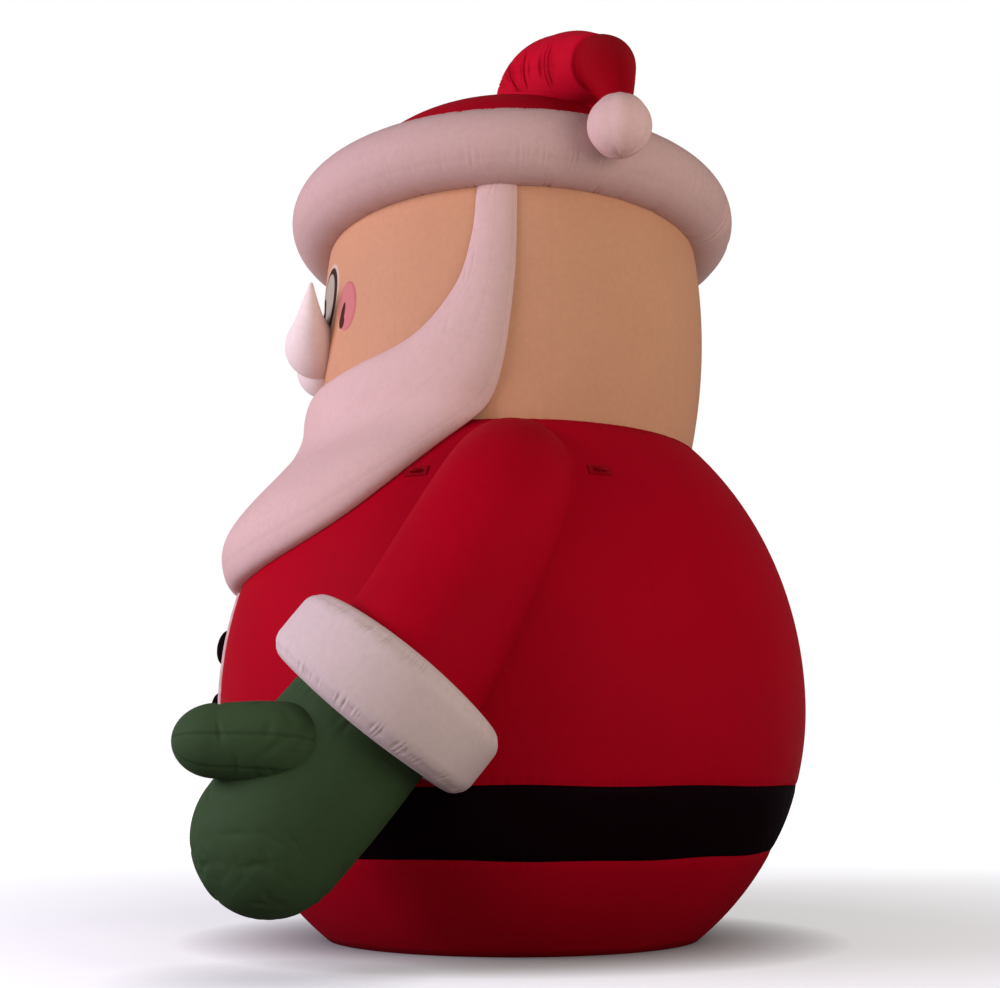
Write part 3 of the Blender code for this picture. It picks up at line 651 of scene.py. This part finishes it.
# Mittens: long rounded palms of dark green nylon, gathered where they leave the cuff, with a fat
# thumb sewn on. The cloth is a little slack near the fingertips and falls into short folds there.
PALM_WIDTH = 1.07
PALM_DEPTH = 0.86
PALM_LENGTH = 1.465
THUMB_RADIUS = 0.265
THUMB_REACH = 1.04
THUMB_ROOT_DOWN = 0.272
THUMB_ROOT_OUT = 0.01
THUMB_SPREAD = 0.295
THUMB_LIFT = 0.086
THUMB_SEAMS = (15.0, -38.0, 180.0)
THUMB_SEAM_DEPTH = 0.005
THUMB_STEPS = 70
THUMB_COLUMNS = 128
PALM_INTO_CUFF = 0.05
PALM_ROWS = 66
PALM_END_ROWS = 40
PALM_COLUMNS = 240
FOLD_WIDTH = 0.018
GREEN = (0.040, 0.070, 0.028)
green_nylon = nylon("green nylon", GREEN, fading=0.35, crinkle=0.9, specular=0.04)


def scattered_folds(turn, along, girth, count, middle, spread, seed, depth):
    """Depth of short folds in a slack stretch of a bag, most of them near middle."""
    picked = np.random.default_rng(seed)
    folded = 0.0
    for _ in range(count):
        away = (turn - picked.uniform(0, math.tau) + math.pi) % math.tau - math.pi
        sideways = away * girth / math.tau
        upward = along - picked.normal(middle, spread)
        lean = picked.uniform(-0.9, 0.9)
        across = sideways * math.cos(lean) + upward * math.sin(lean)
        over = upward * math.cos(lean) - sideways * math.sin(lean)
        length = picked.uniform(0.05, 0.13)
        folded = folded + np.exp(-((over / FOLD_WIDTH) ** 2) - (across / length) ** 2)
    return depth * np.minimum(folded, 1.0)


def facing_out(grid, *marks):
    """The grid with its columns turned round where it faces in, and its marks with it."""
    if faces_in(grid):
        return (grid[:, ::-1], *(mark[:, ::-1] for mark in marks))
    return (grid, *marks)


def through(points, share):
    """A smooth curve through the points, read at a share of 0 to 1 of its length in points."""
    place = min(share, 1.0) * (len(points) - 1)
    start = min(int(place), len(points) - 2)
    t = place - start
    before, here, there = points[max(start - 1, 0)], points[start], points[start + 1]
    after = points[min(start + 2, len(points) - 1)]
    bend = (2 * before - 5 * here + 4 * there - after) * t * t
    twist = (3 * here - before - 3 * there + after) * t * t * t
    return here + 0.5 * ((there - before) * t + bend + twist)


def swept_grid(points, radii, steps, columns, round_end, out=(1.0, 0.0, 0.0), end_steps=14):
    """A round tube through the points with a rounded end."""
    spine = [through(points, i / steps) for i in range(steps + 1)]
    sizes = [through(radii, i / steps) for i in range(steps + 1)]
    turn = np.linspace(0, math.tau, columns, endpoint=False)
    out = np.array(out)
    rings = []
    for i, (centre, size) in enumerate(zip(spine, sizes)):
        direction = unit(spine[min(i + 1, steps)] - spine[max(i - 1, 0)])
        first, second = frame_along(direction, out)
        out = first
        rings.append(centre + ring(turn, first * size, second * size))
    for i in range(1, end_steps + 1):
        angle = math.pi / 2 * i / end_steps
        end_size = size * math.cos(angle)
        centre = spine[-1] + direction * round_end * math.sin(angle)
        rings.append(centre + ring(turn, first * end_size, second * end_size))
    return np.array(rings)


def palm_of(side, word):
    middle, direction, first, second = forearm(side)
    start = middle + direction * (CUFF_LENGTH / 2 - PALM_INTO_CUFF)
    cap = PALM_WIDTH / 2
    straight = PALM_LENGTH - cap + PALM_INTO_CUFF
    turn = full_turn(PALM_COLUMNS)
    spine = []
    for share in np.linspace(0, 1, PALM_ROWS):
        spine.append((start + direction * straight * share, 1 + 0.03 * math.sin(math.pi * share)))
    for angle in np.linspace(0, math.pi / 2, PALM_END_ROWS)[1:]:
        spine.append((start + direction * (straight + cap * math.sin(angle)), math.cos(angle)))
    half_depth = first * PALM_DEPTH / 2
    half_width = second * PALM_WIDTH / 2
    grid = np.array([centre + ring(turn[0], half_depth * size, half_width * size) for centre, size in spine])
    grid, turn = facing_out(grid, turn)
    along = metres_along(grid)
    from_seam = along - PALM_INTO_CUFF
    relief = -tucks(turn, from_seam, count=44, reach=0.12, seed=2.5 + side, depth=0.009)
    relief += 0.008 * ripple(turn, count=4, seed=1.0) * np.sin(along * 3.0)
    tip = near(along - (straight + 0.30), 0.16)
    relief -= 0.004 * tip * np.clip(ripple(turn, count=22, seed=7.0 + side), 0, 1)
    relief -= scattered_folds(turn, along, girth=3.1, count=70, middle=1.26, spread=0.20, seed=11,
                              depth=0.011)
    grid, deep = laid_on(lifted(grid, relief), coat_radius, CUFF_LIFT)
    palm = sewn_skin(f"sewn_mitten_{word}", grid, "green_nylon", green_nylon, buried=deep)
    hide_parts(f"mitten_{word}")


def thumb_of(side, word):
    middle, direction, first, _ = forearm(side)
    root = middle + direction * (CUFF_LENGTH / 2 + GAP + THUMB_ROOT_DOWN) + first * THUMB_ROOT_OUT
    forward = np.array([0.0, -THUMB_REACH, 0.0])
    spread = first * THUMB_SPREAD + np.array([0.0, 0.0, THUMB_LIFT])
    path = [root, root + spread * 0.85 + forward * 0.30, root + spread + forward * 0.72]
    sizes = [THUMB_RADIUS * 0.9, THUMB_RADIUS, THUMB_RADIUS * 0.92]
    grid = swept_grid(path, sizes, THUMB_STEPS, THUMB_COLUMNS, THUMB_REACH * 0.28, out=(side, 0.0, 0.0))
    grid, turn = facing_out(grid, full_turn(THUMB_COLUMNS) * side)
    along = metres_along(grid)
    seam = 0.0
    for place in THUMB_SEAMS:
        seam = seam + near(np.sin((turn - math.radians(place)) / 2), 0.022)
    relief = -THUMB_SEAM_DEPTH * seam
    relief = relief - tucks(turn, abs(along - 0.30), count=40, reach=0.10, seed=3.0 + side, depth=0.006)
    relief -= scattered_folds(turn, along, girth=1.6, count=34, middle=0.50, spread=0.18, seed=5,
                              depth=0.012)
    thumb = sewn_skin(f"sewn_thumb_{word}", lifted(grid, relief), "green_nylon", green_nylon, seam=seam * 0.8)
    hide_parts(f"mitten_{word}")


for side, word in ((1, "left"), (-1, "right")):
    sleeve_of(side, word)
    cuff_of(side, word)
    palm_of(side, word)
    thumb_of(side, word)


# Beard: a puffed bib of white nylon from one ear round the chin to the other, sewn flat at its
# edges to the head and the coat. The edge seams gather it, and a stitched line runs along it.
BRIM_TUBE_RADIUS = 0.305
BRIM_STAND_OFF = 0.045
BRIM_BELOW_HEAD_TOP = 0.02
BRIM_TILT = 4.0
BRIM_HEIGHT = HEAD_TOP - BRIM_BELOW_HEAD_TOP
BRIM_UNDERSIDE = BRIM_HEIGHT - BRIM_TUBE_RADIUS
BRIM_RING_RADIUS = float(head_radius(BRIM_UNDERSIDE)) + BRIM_STAND_OFF
BEARD_FRONT_EDGE = (
    # azimuth in degrees, share of the way down from the sideburn's top to the chin
    (80.0, 0.0), (79.0, 0.33), (74.0, 0.64), (60.8, 0.89), (38.4, 0.98), (19.2, 1.0), (0.0, 1.0),
)
BEARD_BACK_EDGE = (
    # azimuth in degrees, share of the way down from the sideburn's top to the beard's tip
    (91.6, 0.0), (90.6, 0.28), (85.6, 0.54), (73.28, 0.675), (52.212, 0.88), (27.48, 0.975), (0.0, 1.0),
)
SIDEBURN_THICKNESS = 0.05
BEARD_THICKNESS = 0.28
BEARD_WAIST = 0.20
BEARD_WAIST_AT = 0.44
BEARD_TIP_PUFF = 0.26
BEARD_TIP_PUFF_AT = 0.80
BEARD_PUFF_REACH = 0.16
BEARD_SECTIONS = 520
BEARD_ACROSS = 64
BEARD_BULGE = slice(20, 40)
BEARD_TUCK_DEPTH = 0.010
BEARD_STITCH_DEPTH = 0.012
BEARD_INTO_BRIM = 0.06
BEARD_TOP = BRIM_UNDERSIDE + BEARD_INTO_BRIM
CHIN_HEIGHT = 4.52
BEARD_TIP_HEIGHT = 2.80
COLLAR_BRIDGE = 0.24
BEARD_WHITE = (0.64, 0.410, 0.374)
white_nylon = nylon("white nylon", BEARD_WHITE, fading=0.14, crinkle=0.7)


def figure_radius(height):
    """Head and coat as one outline, rounded where the beard bridges the collar."""
    head_part = np.where(height > COLLAR_HEIGHT - COLLAR_BRIDGE, head_radius(height), 0.0)
    coat_part = coat_radius(np.minimum(height, COLLAR_HEIGHT + COLLAR_BRIDGE))
    apart = np.clip(COLLAR_BRIDGE - abs(head_part - coat_part), 0.0, None) / COLLAR_BRIDGE
    return np.maximum(head_part, coat_part) + apart * apart * COLLAR_BRIDGE / 4


def beard_edge(points, low, share):
    """A point of an edge of the beard, as azimuth and height, from its sideburn (0) to its middle (1)."""
    drop = BEARD_TOP - low
    return through([np.array([azimuth, BEARD_TOP - down * drop]) for azimuth, down in points], share)


across_turn = np.linspace(0, math.pi, BEARD_ACROSS + 1)
share = (1 - np.cos(across_turn)) / 2
beard_puff = (BEARD_TIP_PUFF * near(share - BEARD_TIP_PUFF_AT, BEARD_PUFF_REACH)
              - BEARD_WAIST * near(share - BEARD_WAIST_AT, BEARD_PUFF_REACH))
beard_rows = []
for signed in np.linspace(-1, 1, BEARD_SECTIONS + 1):
    side = -1 if signed < 0 else 1
    front = beard_edge(BEARD_FRONT_EDGE, CHIN_HEIGHT, 1 - abs(signed))
    back = beard_edge(BEARD_BACK_EDGE, BEARD_TIP_HEIGHT, 1 - abs(signed))
    swell = math.sin(math.pi / 2 * (1 - abs(signed)))
    thickness = SIDEBURN_THICKNESS + (BEARD_THICKNESS - SIDEBURN_THICKNESS) * swell**1.5
    azimuth = np.radians(front[0] + (back[0] - front[0]) * share) * side
    height = front[1] + (back[1] - front[1]) * share
    flat_edge = np.sin(across_turn) ** (1.2 - 0.4 * swell**3)
    radius = figure_radius(height) + thickness * flat_edge * (1 + beard_puff * swell**3) + EDGE_LIFT
    beard_rows.append(np.stack([radius * np.sin(azimuth), -radius * np.cos(azimuth), height], axis=1))
beard_grid = np.array(beard_rows)
if (outward(beard_grid, closed=False) * beard_grid)[:, BEARD_BULGE, :2].sum() < 0:
    beard_grid = beard_grid[::-1]
beard_normals = abs(outward(beard_grid, closed=False)) * np.sign(beard_grid * [1, 1, 0])
beard_turn = np.linspace(-math.pi, math.pi, BEARD_SECTIONS + 1)[:, None]
beard_share = share[None, :]
beard_seam = 0.18 * (near(beard_share - 0.90, 0.010) + 0.6 * near(beard_share - 0.50, 0.007))
pucker = tucks(beard_turn, beard_share - 0.04, count=210, reach=0.05, seed=3.0)
pucker += tucks(beard_turn, 0.97 - beard_share, count=190, reach=0.04, seed=8.0, depth=0.6)
pucker *= np.sin(math.pi * beard_share) ** 0.5
pucker += scattered_folds(beard_turn, beard_share * 1.3, girth=7.0, count=60, middle=0.22, spread=0.14,
                          seed=4, depth=0.7)
beard_lift = -BEARD_TUCK_DEPTH * pucker - BEARD_STITCH_DEPTH * beard_seam
beard_grid = beard_grid + beard_normals * beard_lift[:, :, None]
beard = sewn_skin("sewn_beard", beard_grid, "white_nylon", white_nylon, closed=False, seam=beard_seam)
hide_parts("beard")


# Moustache and nose: two puffed lobes of white nylon that curl up at their tips, and above them a
# small round bag in the skin's colour. All three are sewn flat to the face.
MOUSTACHE_HEIGHT = 4.91
MOUSTACHE_RADIUS = 0.25
MOUSTACHE_SPAN = 0.95
MOUSTACHE_TIP_RISE = 0.37
NOSE_RADIUS = 0.20
NOSE_HEIGHT = 5.10
# The moustache's white is a brighter copy of the beard's white: painted light.
MOUSTACHE_LIT_WHITE = (0.80, 0.64, 0.59)
MOUSTACHE_TAPER = (0.72, 1.0, 0.52, 0.08)
moustache_lit_nylon = nylon("moustache nylon painted light", MOUSTACHE_LIT_WHITE, fading=0.14, crinkle=0.7)


def ball_grid(centre, radius, rows, columns):
    rise = np.linspace(-math.pi / 2, math.pi / 2, rows)[:, None]
    return turned_grid(full_turn(columns), radius * np.cos(rise), radius * np.sin(rise)) + centre


moustache_front = -float(head_radius(MOUSTACHE_HEIGHT))
moustache_tip = MOUSTACHE_HEIGHT + MOUSTACHE_TIP_RISE
moustache_curl = moustache_tip - MOUSTACHE_TIP_RISE * 0.68
for side, word in ((1, "left"), (-1, "right")):
    path = [
        np.array([-0.02 * side, moustache_front, MOUSTACHE_HEIGHT + 0.04]),
        np.array([side * MOUSTACHE_SPAN * 0.40, moustache_front - 0.04, MOUSTACHE_HEIGHT]),
        np.array([side * MOUSTACHE_SPAN * 0.78, moustache_front - 0.03, moustache_curl]),
        np.array([side * MOUSTACHE_SPAN, moustache_front, moustache_tip]),
    ]
    radii = [MOUSTACHE_RADIUS * share for share in MOUSTACHE_TAPER]
    lobe = swept_grid(path, radii, steps=60, columns=72, round_end=MOUSTACHE_RADIUS * 0.1,
                      out=(0.0, -1.0, 0.0))
    piece = sewn_skin(f"moustache_lobe_{word}", *facing_out(lobe), "white_nylon", moustache_lit_nylon)
    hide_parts("moustache")

nose_place = np.array([0.0, -float(head_radius(NOSE_HEIGHT)) - NOSE_RADIUS * 0.3, NOSE_HEIGHT])
nose = sewn_skin("sewn_nose", ball_grid(nose_place, NOSE_RADIUS, rows=40, columns=64), "skin_nylon",
                 nylon("nose nylon", SKIN, fading=0.16))
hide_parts("nose")


# Hat: a rolled white brim round the head, a red dome on top of it, and a peak that folds over to
# the figure's left and ends in a white pompom. All are nylon, gathered along their seams.
BRIM_COLUMNS = 1100
BRIM_ROWS = 60
BRIM_ROLL_END = 155.0
BRIM_LOWER_SEAM = -38.0
BRIM_SEAM_DEPTH = 0.003
BRIM_TUCKS = (
    # degrees up round the tube from its outermost line, count, reach, seed, depth
    (BRIM_LOWER_SEAM, 230, 0.06, 2.0, 0.006),
    (64.0, 250, 0.07, 5.0, 0.012),
    (-118.0, 210, 0.13, 8.0, 0.015),
)
BRIM_SLACK_AT = 2.80
BRIM_SLACK_REACH = 0.42
# The brim's white is a darker copy of the beard's white: painted shade.
BRIM_SHADED_WHITE = (0.53, 0.335, 0.305)
DOME_COLUMNS = 300
DOME_ROWS = 40
DOME_GORES = 10
DOME_SEAM_DEPTH = 0.002
CROWN_RISE = 0.98
PEAK_BASE_RADIUS = 0.50
PEAK_TURN_RADIUS = 0.38
PEAK_TAIL_RADIUS = 0.20
PEAK_TIP_RADIUS = 0.10
PEAK_RISE = 0.10
PEAK_SETBACK = 0.37
PEAK_ROOT_OUT = 0.36
PEAK_CREST_OUT = 0.66
PEAK_ROOT_DEPTH = 0.50
PEAK_SAG = 0.20
PEAK_STEPS = 320
PEAK_COLUMNS = 150
PEAK_BASE_ROWS = 80
PEAK_SEAM_DEPTH = 0.004
PEAK_TUCK_DEPTH = 0.022
PEAK_FOLD_AT = 1.58
PEAK_FOLD_DEPTH = 0.060
PEAK_SLIM_AT = 1.52
PEAK_SLIM_DEPTH = 0.06
# The lobe's red is a lighter copy of the hat's red as painted light, the tail's a darker copy as painted
# shade.
PEAK_LIT_RED = (0.52, 0.0040, 0.0200)
TAIL_SHADED_RED = (0.30, 0.0006, 0.0060)
POMPOM_RADIUS = 0.25
POMPOM_AZIMUTH = 112.0
POMPOM_COLUMNS = 120
POMPOM_ROWS = 60
POMPOM_GORES = 8
POMPOM_SEAM_DEPTH = 0.045
brim_shaded_nylon = nylon("brim nylon painted shade", BRIM_SHADED_WHITE, fading=0.14, crinkle=0.7)

brim_turn = full_turn(BRIM_COLUMNS)
roll = np.radians(np.linspace(-BRIM_ROLL_END, BRIM_ROLL_END, BRIM_ROWS))[:, None]
around_tube = roll * BRIM_TUBE_RADIUS
from_lower_seam = abs(around_tube - math.radians(BRIM_LOWER_SEAM) * BRIM_TUBE_RADIUS)
brim_relief = -BRIM_SEAM_DEPTH * near(from_lower_seam, 0.012)
for place, *tuck in BRIM_TUCKS:
    away = abs(around_tube - math.radians(place) * BRIM_TUBE_RADIUS)
    brim_relief = brim_relief - tucks(brim_turn, away, *tuck)
slack_folds = tucks(brim_turn, abs(around_tube + 0.08), count=150, reach=0.15, seed=9.0, depth=0.024)
brim_relief = brim_relief - near(brim_turn - BRIM_SLACK_AT, BRIM_SLACK_REACH) * slack_folds
tube_radius = BRIM_TUBE_RADIUS + brim_relief
level_brim = turned_grid(brim_turn, BRIM_RING_RADIUS + tube_radius * np.cos(roll), tube_radius * np.sin(roll))
tilt = math.radians(BRIM_TILT)
hinge = np.array([BRIM_RING_RADIUS, 0.0, 0.0])
tilted = np.array([[math.cos(tilt), 0.0, -math.sin(tilt)], [0.0, 1.0, 0.0],
                   [math.sin(tilt), 0.0, math.cos(tilt)]])
brim_grid = (level_brim - hinge) @ tilted.T + hinge + [0.0, 0.0, BRIM_HEIGHT]
brim = sewn_skin("rolled_brim", brim_grid, "white_nylon", brim_shaded_nylon,
                 seam=0.15 * near(from_lower_seam, 0.010))
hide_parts("hat_brim")

dome_turn = full_turn(DOME_COLUMNS)
rise = np.linspace(0, math.pi / 2, DOME_ROWS)[:, None]
_, from_dome_seam = gores(dome_turn, DOME_GORES, shift=0.3, radius=HEAD_END_RADIUS * np.cos(rise))
dome_relief = -DOME_SEAM_DEPTH * near(from_dome_seam, 0.02) * np.cos(rise)
dome = turned_grid(dome_turn, (HEAD_END_RADIUS + dome_relief) * np.cos(rise),
                   HEAD_TOP + GAP + CROWN_RISE * np.sin(rise))
crown = sewn_skin("hat_dome", dome, "red_nylon", red_nylon, seam=0.15 * near(from_dome_seam, 0.01))
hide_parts("hat_crown")

pompom_out = BRIM_RING_RADIUS + BRIM_TUBE_RADIUS + POMPOM_RADIUS + GAP
pompom_place = around(POMPOM_AZIMUTH, pompom_out, BRIM_HEIGHT)
dome_top = HEAD_TOP + CROWN_RISE
peak_root = np.array([PEAK_ROOT_OUT, PEAK_SETBACK, dome_top - PEAK_ROOT_DEPTH])
peak_up = np.array([PEAK_ROOT_OUT * 1.1, PEAK_SETBACK, dome_top])
peak_crest = np.array([PEAK_CREST_OUT, PEAK_SETBACK * 1.4, dome_top + PEAK_RISE])
peak_end = pompom_place + [0, 0, POMPOM_RADIUS * 0.7]
peak_over = peak_crest * 0.66 + peak_end * 0.34 + [0, PEAK_SAG * 0.7, PEAK_SAG]
peak_tail = peak_crest * 0.30 + peak_end * 0.70 + [0, PEAK_SAG * 0.3, PEAK_SAG * 0.8]
peak_radii = [PEAK_BASE_RADIUS, PEAK_BASE_RADIUS, PEAK_TURN_RADIUS,
              PEAK_TAIL_RADIUS * 1.3, PEAK_TAIL_RADIUS, PEAK_TIP_RADIUS]
peak_grid = swept_grid([peak_root, peak_up, peak_crest, peak_over, peak_tail, peak_end], peak_radii,
                       PEAK_STEPS, PEAK_COLUMNS, PEAK_TIP_RADIUS * 0.5)
peak_turn = full_turn(PEAK_COLUMNS)
if faces_in(peak_grid[:PEAK_BASE_ROWS]):
    peak_grid = peak_grid[:, ::-1]
    peak_turn = peak_turn[:, ::-1]
peak_along = metres_along(peak_grid)
peak_seam_turn = np.radians(np.interp(peak_along, (0.5, 0.7, 1.4), (276.0, 292.0, 312.0)))
peak_size = np.interp(peak_along, (0.5, 0.8, 1.4), (0.50, 0.40, 0.26))
from_peak_seam = abs((peak_turn - peak_seam_turn + math.pi) % math.tau - math.pi) * peak_size
gathered = np.exp(-(((peak_along - 0.95) / 0.40) ** 4))
peak_tucks = tucks(peak_along + 0 * peak_turn, from_peak_seam, count=150, reach=0.15, seed=3.0, depth=2.2)
peak_tucks = gathered * np.clip(peak_tucks, 0, 1) ** 3
from_fold = peak_along - PEAK_FOLD_AT
outer_side = np.clip(outward(peak_grid) @ np.array([0.0, 0.7, 0.7]), 0.0, 1.0)
peak_relief = -PEAK_TUCK_DEPTH * peak_tucks
peak_relief -= PEAK_SEAM_DEPTH * gathered * near(from_peak_seam, 0.012)
peak_relief -= PEAK_FOLD_DEPTH * near(from_fold, 0.035)
peak_relief -= PEAK_SLIM_DEPTH * outer_side * near(peak_along - PEAK_SLIM_AT, 0.22)
peak_grid = lifted(peak_grid, peak_relief)
# The marks darken the cloth on the seam, and in the tucks and the fold as painted crease shade.
peak_seam_and_crease_shade = 0.35 * gathered * near(from_peak_seam, 0.010) + 0.8 * near(from_fold, 0.025)
peak_seam_and_crease_shade = np.clip(peak_seam_and_crease_shade + 1.2 * peak_tucks, 0, 1)
lobe_rows = int((peak_along[:, 0] < PEAK_FOLD_AT).sum()) + 1
# The lobe gets the lighter red as painted light and the tail the darker red as painted shade.
for name, cloth, red, rows in (("hat_peak", "peak nylon painted light", PEAK_LIT_RED, slice(0, lobe_rows)),
                               ("hat_tail", "tail nylon painted shade", TAIL_SHADED_RED, slice(lobe_rows - 1, None))):
    peak = sewn_skin(name, peak_grid[rows], "red_nylon", nylon(cloth, red, specular=0.02),
                     seam=peak_seam_and_crease_shade[rows])
    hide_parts("hat_crown")

pompom_turn = full_turn(POMPOM_COLUMNS)
pompom_rise = np.linspace(-math.pi / 2, math.pi / 2, POMPOM_ROWS)[:, None]
pompom_gore, _ = gores(pompom_turn, POMPOM_GORES, shift=0.5, radius=POMPOM_RADIUS)
from_pole = (pompom_rise + 1.2) * POMPOM_RADIUS
pompom_share = 1 - POMPOM_SEAM_DEPTH * np.cos(pompom_rise) * (1 - np.sin(math.pi * pompom_gore))
pompom_share -= tucks(pompom_turn, from_pole, count=30, reach=0.10, seed=2.0, depth=0.03)
pompom_grid = ball_grid(np.zeros(3), POMPOM_RADIUS, POMPOM_ROWS, POMPOM_COLUMNS)
pompom = sewn_skin("sewn_pompom", pompom_grid * pompom_share[:, :, None] + pompom_place, "white_nylon",
                   white_nylon)
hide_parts("hat_pompom")


# Front trim: a padded white strip of nylon sewn down the front of the coat, from under the beard to
# the belt, with two domed black buttons stitched on it.
TRIM_WIDTH = 0.52
TRIM_THICKNESS = 0.045
TRIM_UNDER_BEARD = 0.15
TRIM_ABOVE_BELT = 0.004
TRIM_ROWS = 90
TRIM_COLUMNS = 41
TRIM_PUCKER_DEPTH = 0.008
BUTTON_RADIUS = 0.15
BUTTON_RISE = 0.075
BUTTON_SINK = 0.02
BUTTON_HEIGHTS = (2.37, 1.84)

trim_turn = np.linspace(0, math.pi, TRIM_COLUMNS)[None, :]
trim_share = np.linspace(0, 1, TRIM_ROWS)[:, None]
trim_top = BEARD_TIP_HEIGHT + TRIM_UNDER_BEARD
trim_height = BELT_HIGH + TRIM_ABOVE_BELT + (trim_top - BELT_HIGH) * trim_share
trim_across = -np.cos(trim_turn) * TRIM_WIDTH / 2
pucker = np.clip(np.sin(trim_height * 40 + 3 * np.sin(trim_height * 7)), 0, 1)
trim_lift = EDGE_LIFT + TRIM_THICKNESS * np.sin(trim_turn) ** 0.45
trim_lift = trim_lift - TRIM_PUCKER_DEPTH * pucker * near(np.sin(trim_turn), 0.5)
trim_angle = trim_across / coat_radius(trim_height)
trim_grid = turned_grid(trim_angle, coat_radius(trim_height) + trim_lift, trim_height)
trim = sewn_skin("front_trim", trim_grid, "white_nylon", white_nylon, closed=False)
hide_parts("coat_trim")

for count, height in enumerate(BUTTON_HEIGHTS, 1):
    slope = float(coat_radius(height + 0.01) - coat_radius(height - 0.01)) / 0.02
    face = unit(np.array([0.0, -1.0, -slope]))
    place = around(0, float(coat_radius(height)) + TRIM_THICKNESS, height)
    first, second = frame_along(face, np.array([1.0, 0.0, 0.0]))
    rim = ring(full_turn(72)[0], first, second) * BUTTON_RADIUS
    rows = [place - face * BUTTON_SINK + rim]
    for angle in np.linspace(0, math.pi / 2, 20):
        rows.append(place + face * BUTTON_RISE * math.sin(angle) + rim * math.cos(angle))
    button = sewn_skin(f"sewn_button_{count}", np.array(rows), "black_nylon", black_nylon)
    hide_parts(f"button_{count}")


# Tie-down points: dark red webbing patches with an upright half loop, box-stitched to the coat's
# shoulders, two on each side. They are the solids of the frame, in the webbing's weave.
WEBBING_RED = (0.27, 0.0008, 0.007)
webbing = nylon("dark webbing", WEBBING_RED, fading=0.3, threads=120.0, crinkle=0.9)
for place in ("left_front", "left_back", "right_front", "right_back"):
    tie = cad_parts[f"tie_loop_{place}"]
    tie.data.materials.clear()
    tie.data.materials.append(webbing)


# Floor and light: a plain pale floor under a white backdrop, a broad soft lamp from the front left
# and a dimmer fill from the back left. Where the figure stands close over the floor, a painted
# contact shadow darkens the floor's colour and glow.
FLOOR_HALF = 400
SHADE_REACH = 0.9
SHADE_POWER = 1.3
CAMERA_LOOKS_UP = 10.8
CAMERA_TURNS_LEFT = 0.4775


def floor_material():
    """Matte white that glows a little, more so far away, so that it ends in the backdrop. Near the figure an
    occlusion node darkens its colour and glow: a painted contact shadow.
    """
    material = bpy.data.materials.new("pale floor")
    material.use_nodes = True
    tree = material.node_tree
    seen = node(tree, "ShaderNodeLightPath").outputs["Is Camera Ray"]
    # painted contact shadow: occlusion near the figure darkens the floor's colour and glow
    open_floor = node(tree, "ShaderNodeAmbientOcclusion", {"Distance": SHADE_REACH}).outputs["AO"]
    open_floor = maths("POWER", open_floor, SHADE_POWER)
    pale = tinted(tree, open_floor, (0.30, 0.28, 0.28, 1.0), (0.85, 0.85, 0.85, 1.0))
    pale = tinted(tree, seen, (0.25, 0.23, 0.23, 1.0), pale)
    place = node(tree, "ShaderNodeTexCoord").outputs["Object"]
    away = node(tree, "ShaderNodeVectorMath", {0: place}, operation="LENGTH").outputs["Value"]
    bounce = node(tree, "ShaderNodeMapRange", {0: away, 1: 6.0, 2: 18.0, 3: 0.0, 4: 0.75}).outputs[0]
    shown = node(tree, "ShaderNodeMapRange", {0: away, 1: 4.0, 2: 18.0, 3: 0.40, 4: 1.0}).outputs[0]
    shown = maths("MULTIPLY", shown, open_floor)
    glow = node(tree, "ShaderNodeMix", {0: seen, 2: bounce, 3: shown}, data_type="FLOAT").outputs[0]
    fill(tree.nodes["Principled BSDF"], {
        "Base Color": pale, "Roughness": 0.9, "Specular IOR Level": 0.1,
        "Emission Color": (1.0, 1.0, 1.0, 1.0), "Emission Strength": glow,
    })
    return material


floor_mesh = bpy.data.meshes.new("floor")
floor_corners = [(x * FLOOR_HALF, y * FLOOR_HALF, 0) for x, y in ((-1, -1), (1, -1), (1, 1), (-1, 1))]
floor_mesh.from_pydata(floor_corners, [], [(0, 1, 2, 3)])
floor_mesh.materials.append(floor_material())
floor = placed("floor", floor_mesh)

world = bpy.data.worlds.new("studio")
bpy.context.scene.world = world
world.use_nodes = True
sky = world.node_tree
seen = node(sky, "ShaderNodeLightPath").outputs["Is Camera Ray"]
backdrop_colour = tinted(sky, seen, (0.25, 0.24, 0.25, 1.0), (1.0, 1.0, 1.0, 1.0))
fill(sky.nodes["Background"], {"Color": backdrop_colour, "Strength": 1.0})


def lamp(name, place, target, size, power, colour):
    light = bpy.data.lights.new(name, "AREA")
    light.shape = "DISK"
    light.size = size
    light.energy = power
    light.color = colour
    holder = placed(name, light)
    holder.location = place
    holder.rotation_euler = (Vector(target) - Vector(place)).to_track_quat("-Z", "Y").to_euler()


lamp("window", place=(7.0, -14.0, 7.0), target=(0.0, 0.0, 3.8), size=8.0, power=1750.0,
     colour=(1.0, 0.97, 1.22))
lamp("fill", place=(12.0, 10.0, 5.0), target=(0.0, 0.0, 4.4), size=10.0, power=880.0,
     colour=(1.0, 0.95, 0.87))

camera = bpy.data.cameras.new("photo camera")
camera.lens = 54.0
camera.sensor_width = 36.0
camera.clip_end = 1000.0
viewer = placed("photo camera", camera)
viewer.location = (12.8, 0.0, 1.26)
viewer.rotation_euler = (math.radians(90 + CAMERA_LOOKS_UP), 0.0, math.radians(90 + CAMERA_TURNS_LEFT))
bpy.context.scene.camera = viewer
bpy.context.scene.view_settings.view_transform = "Standard"
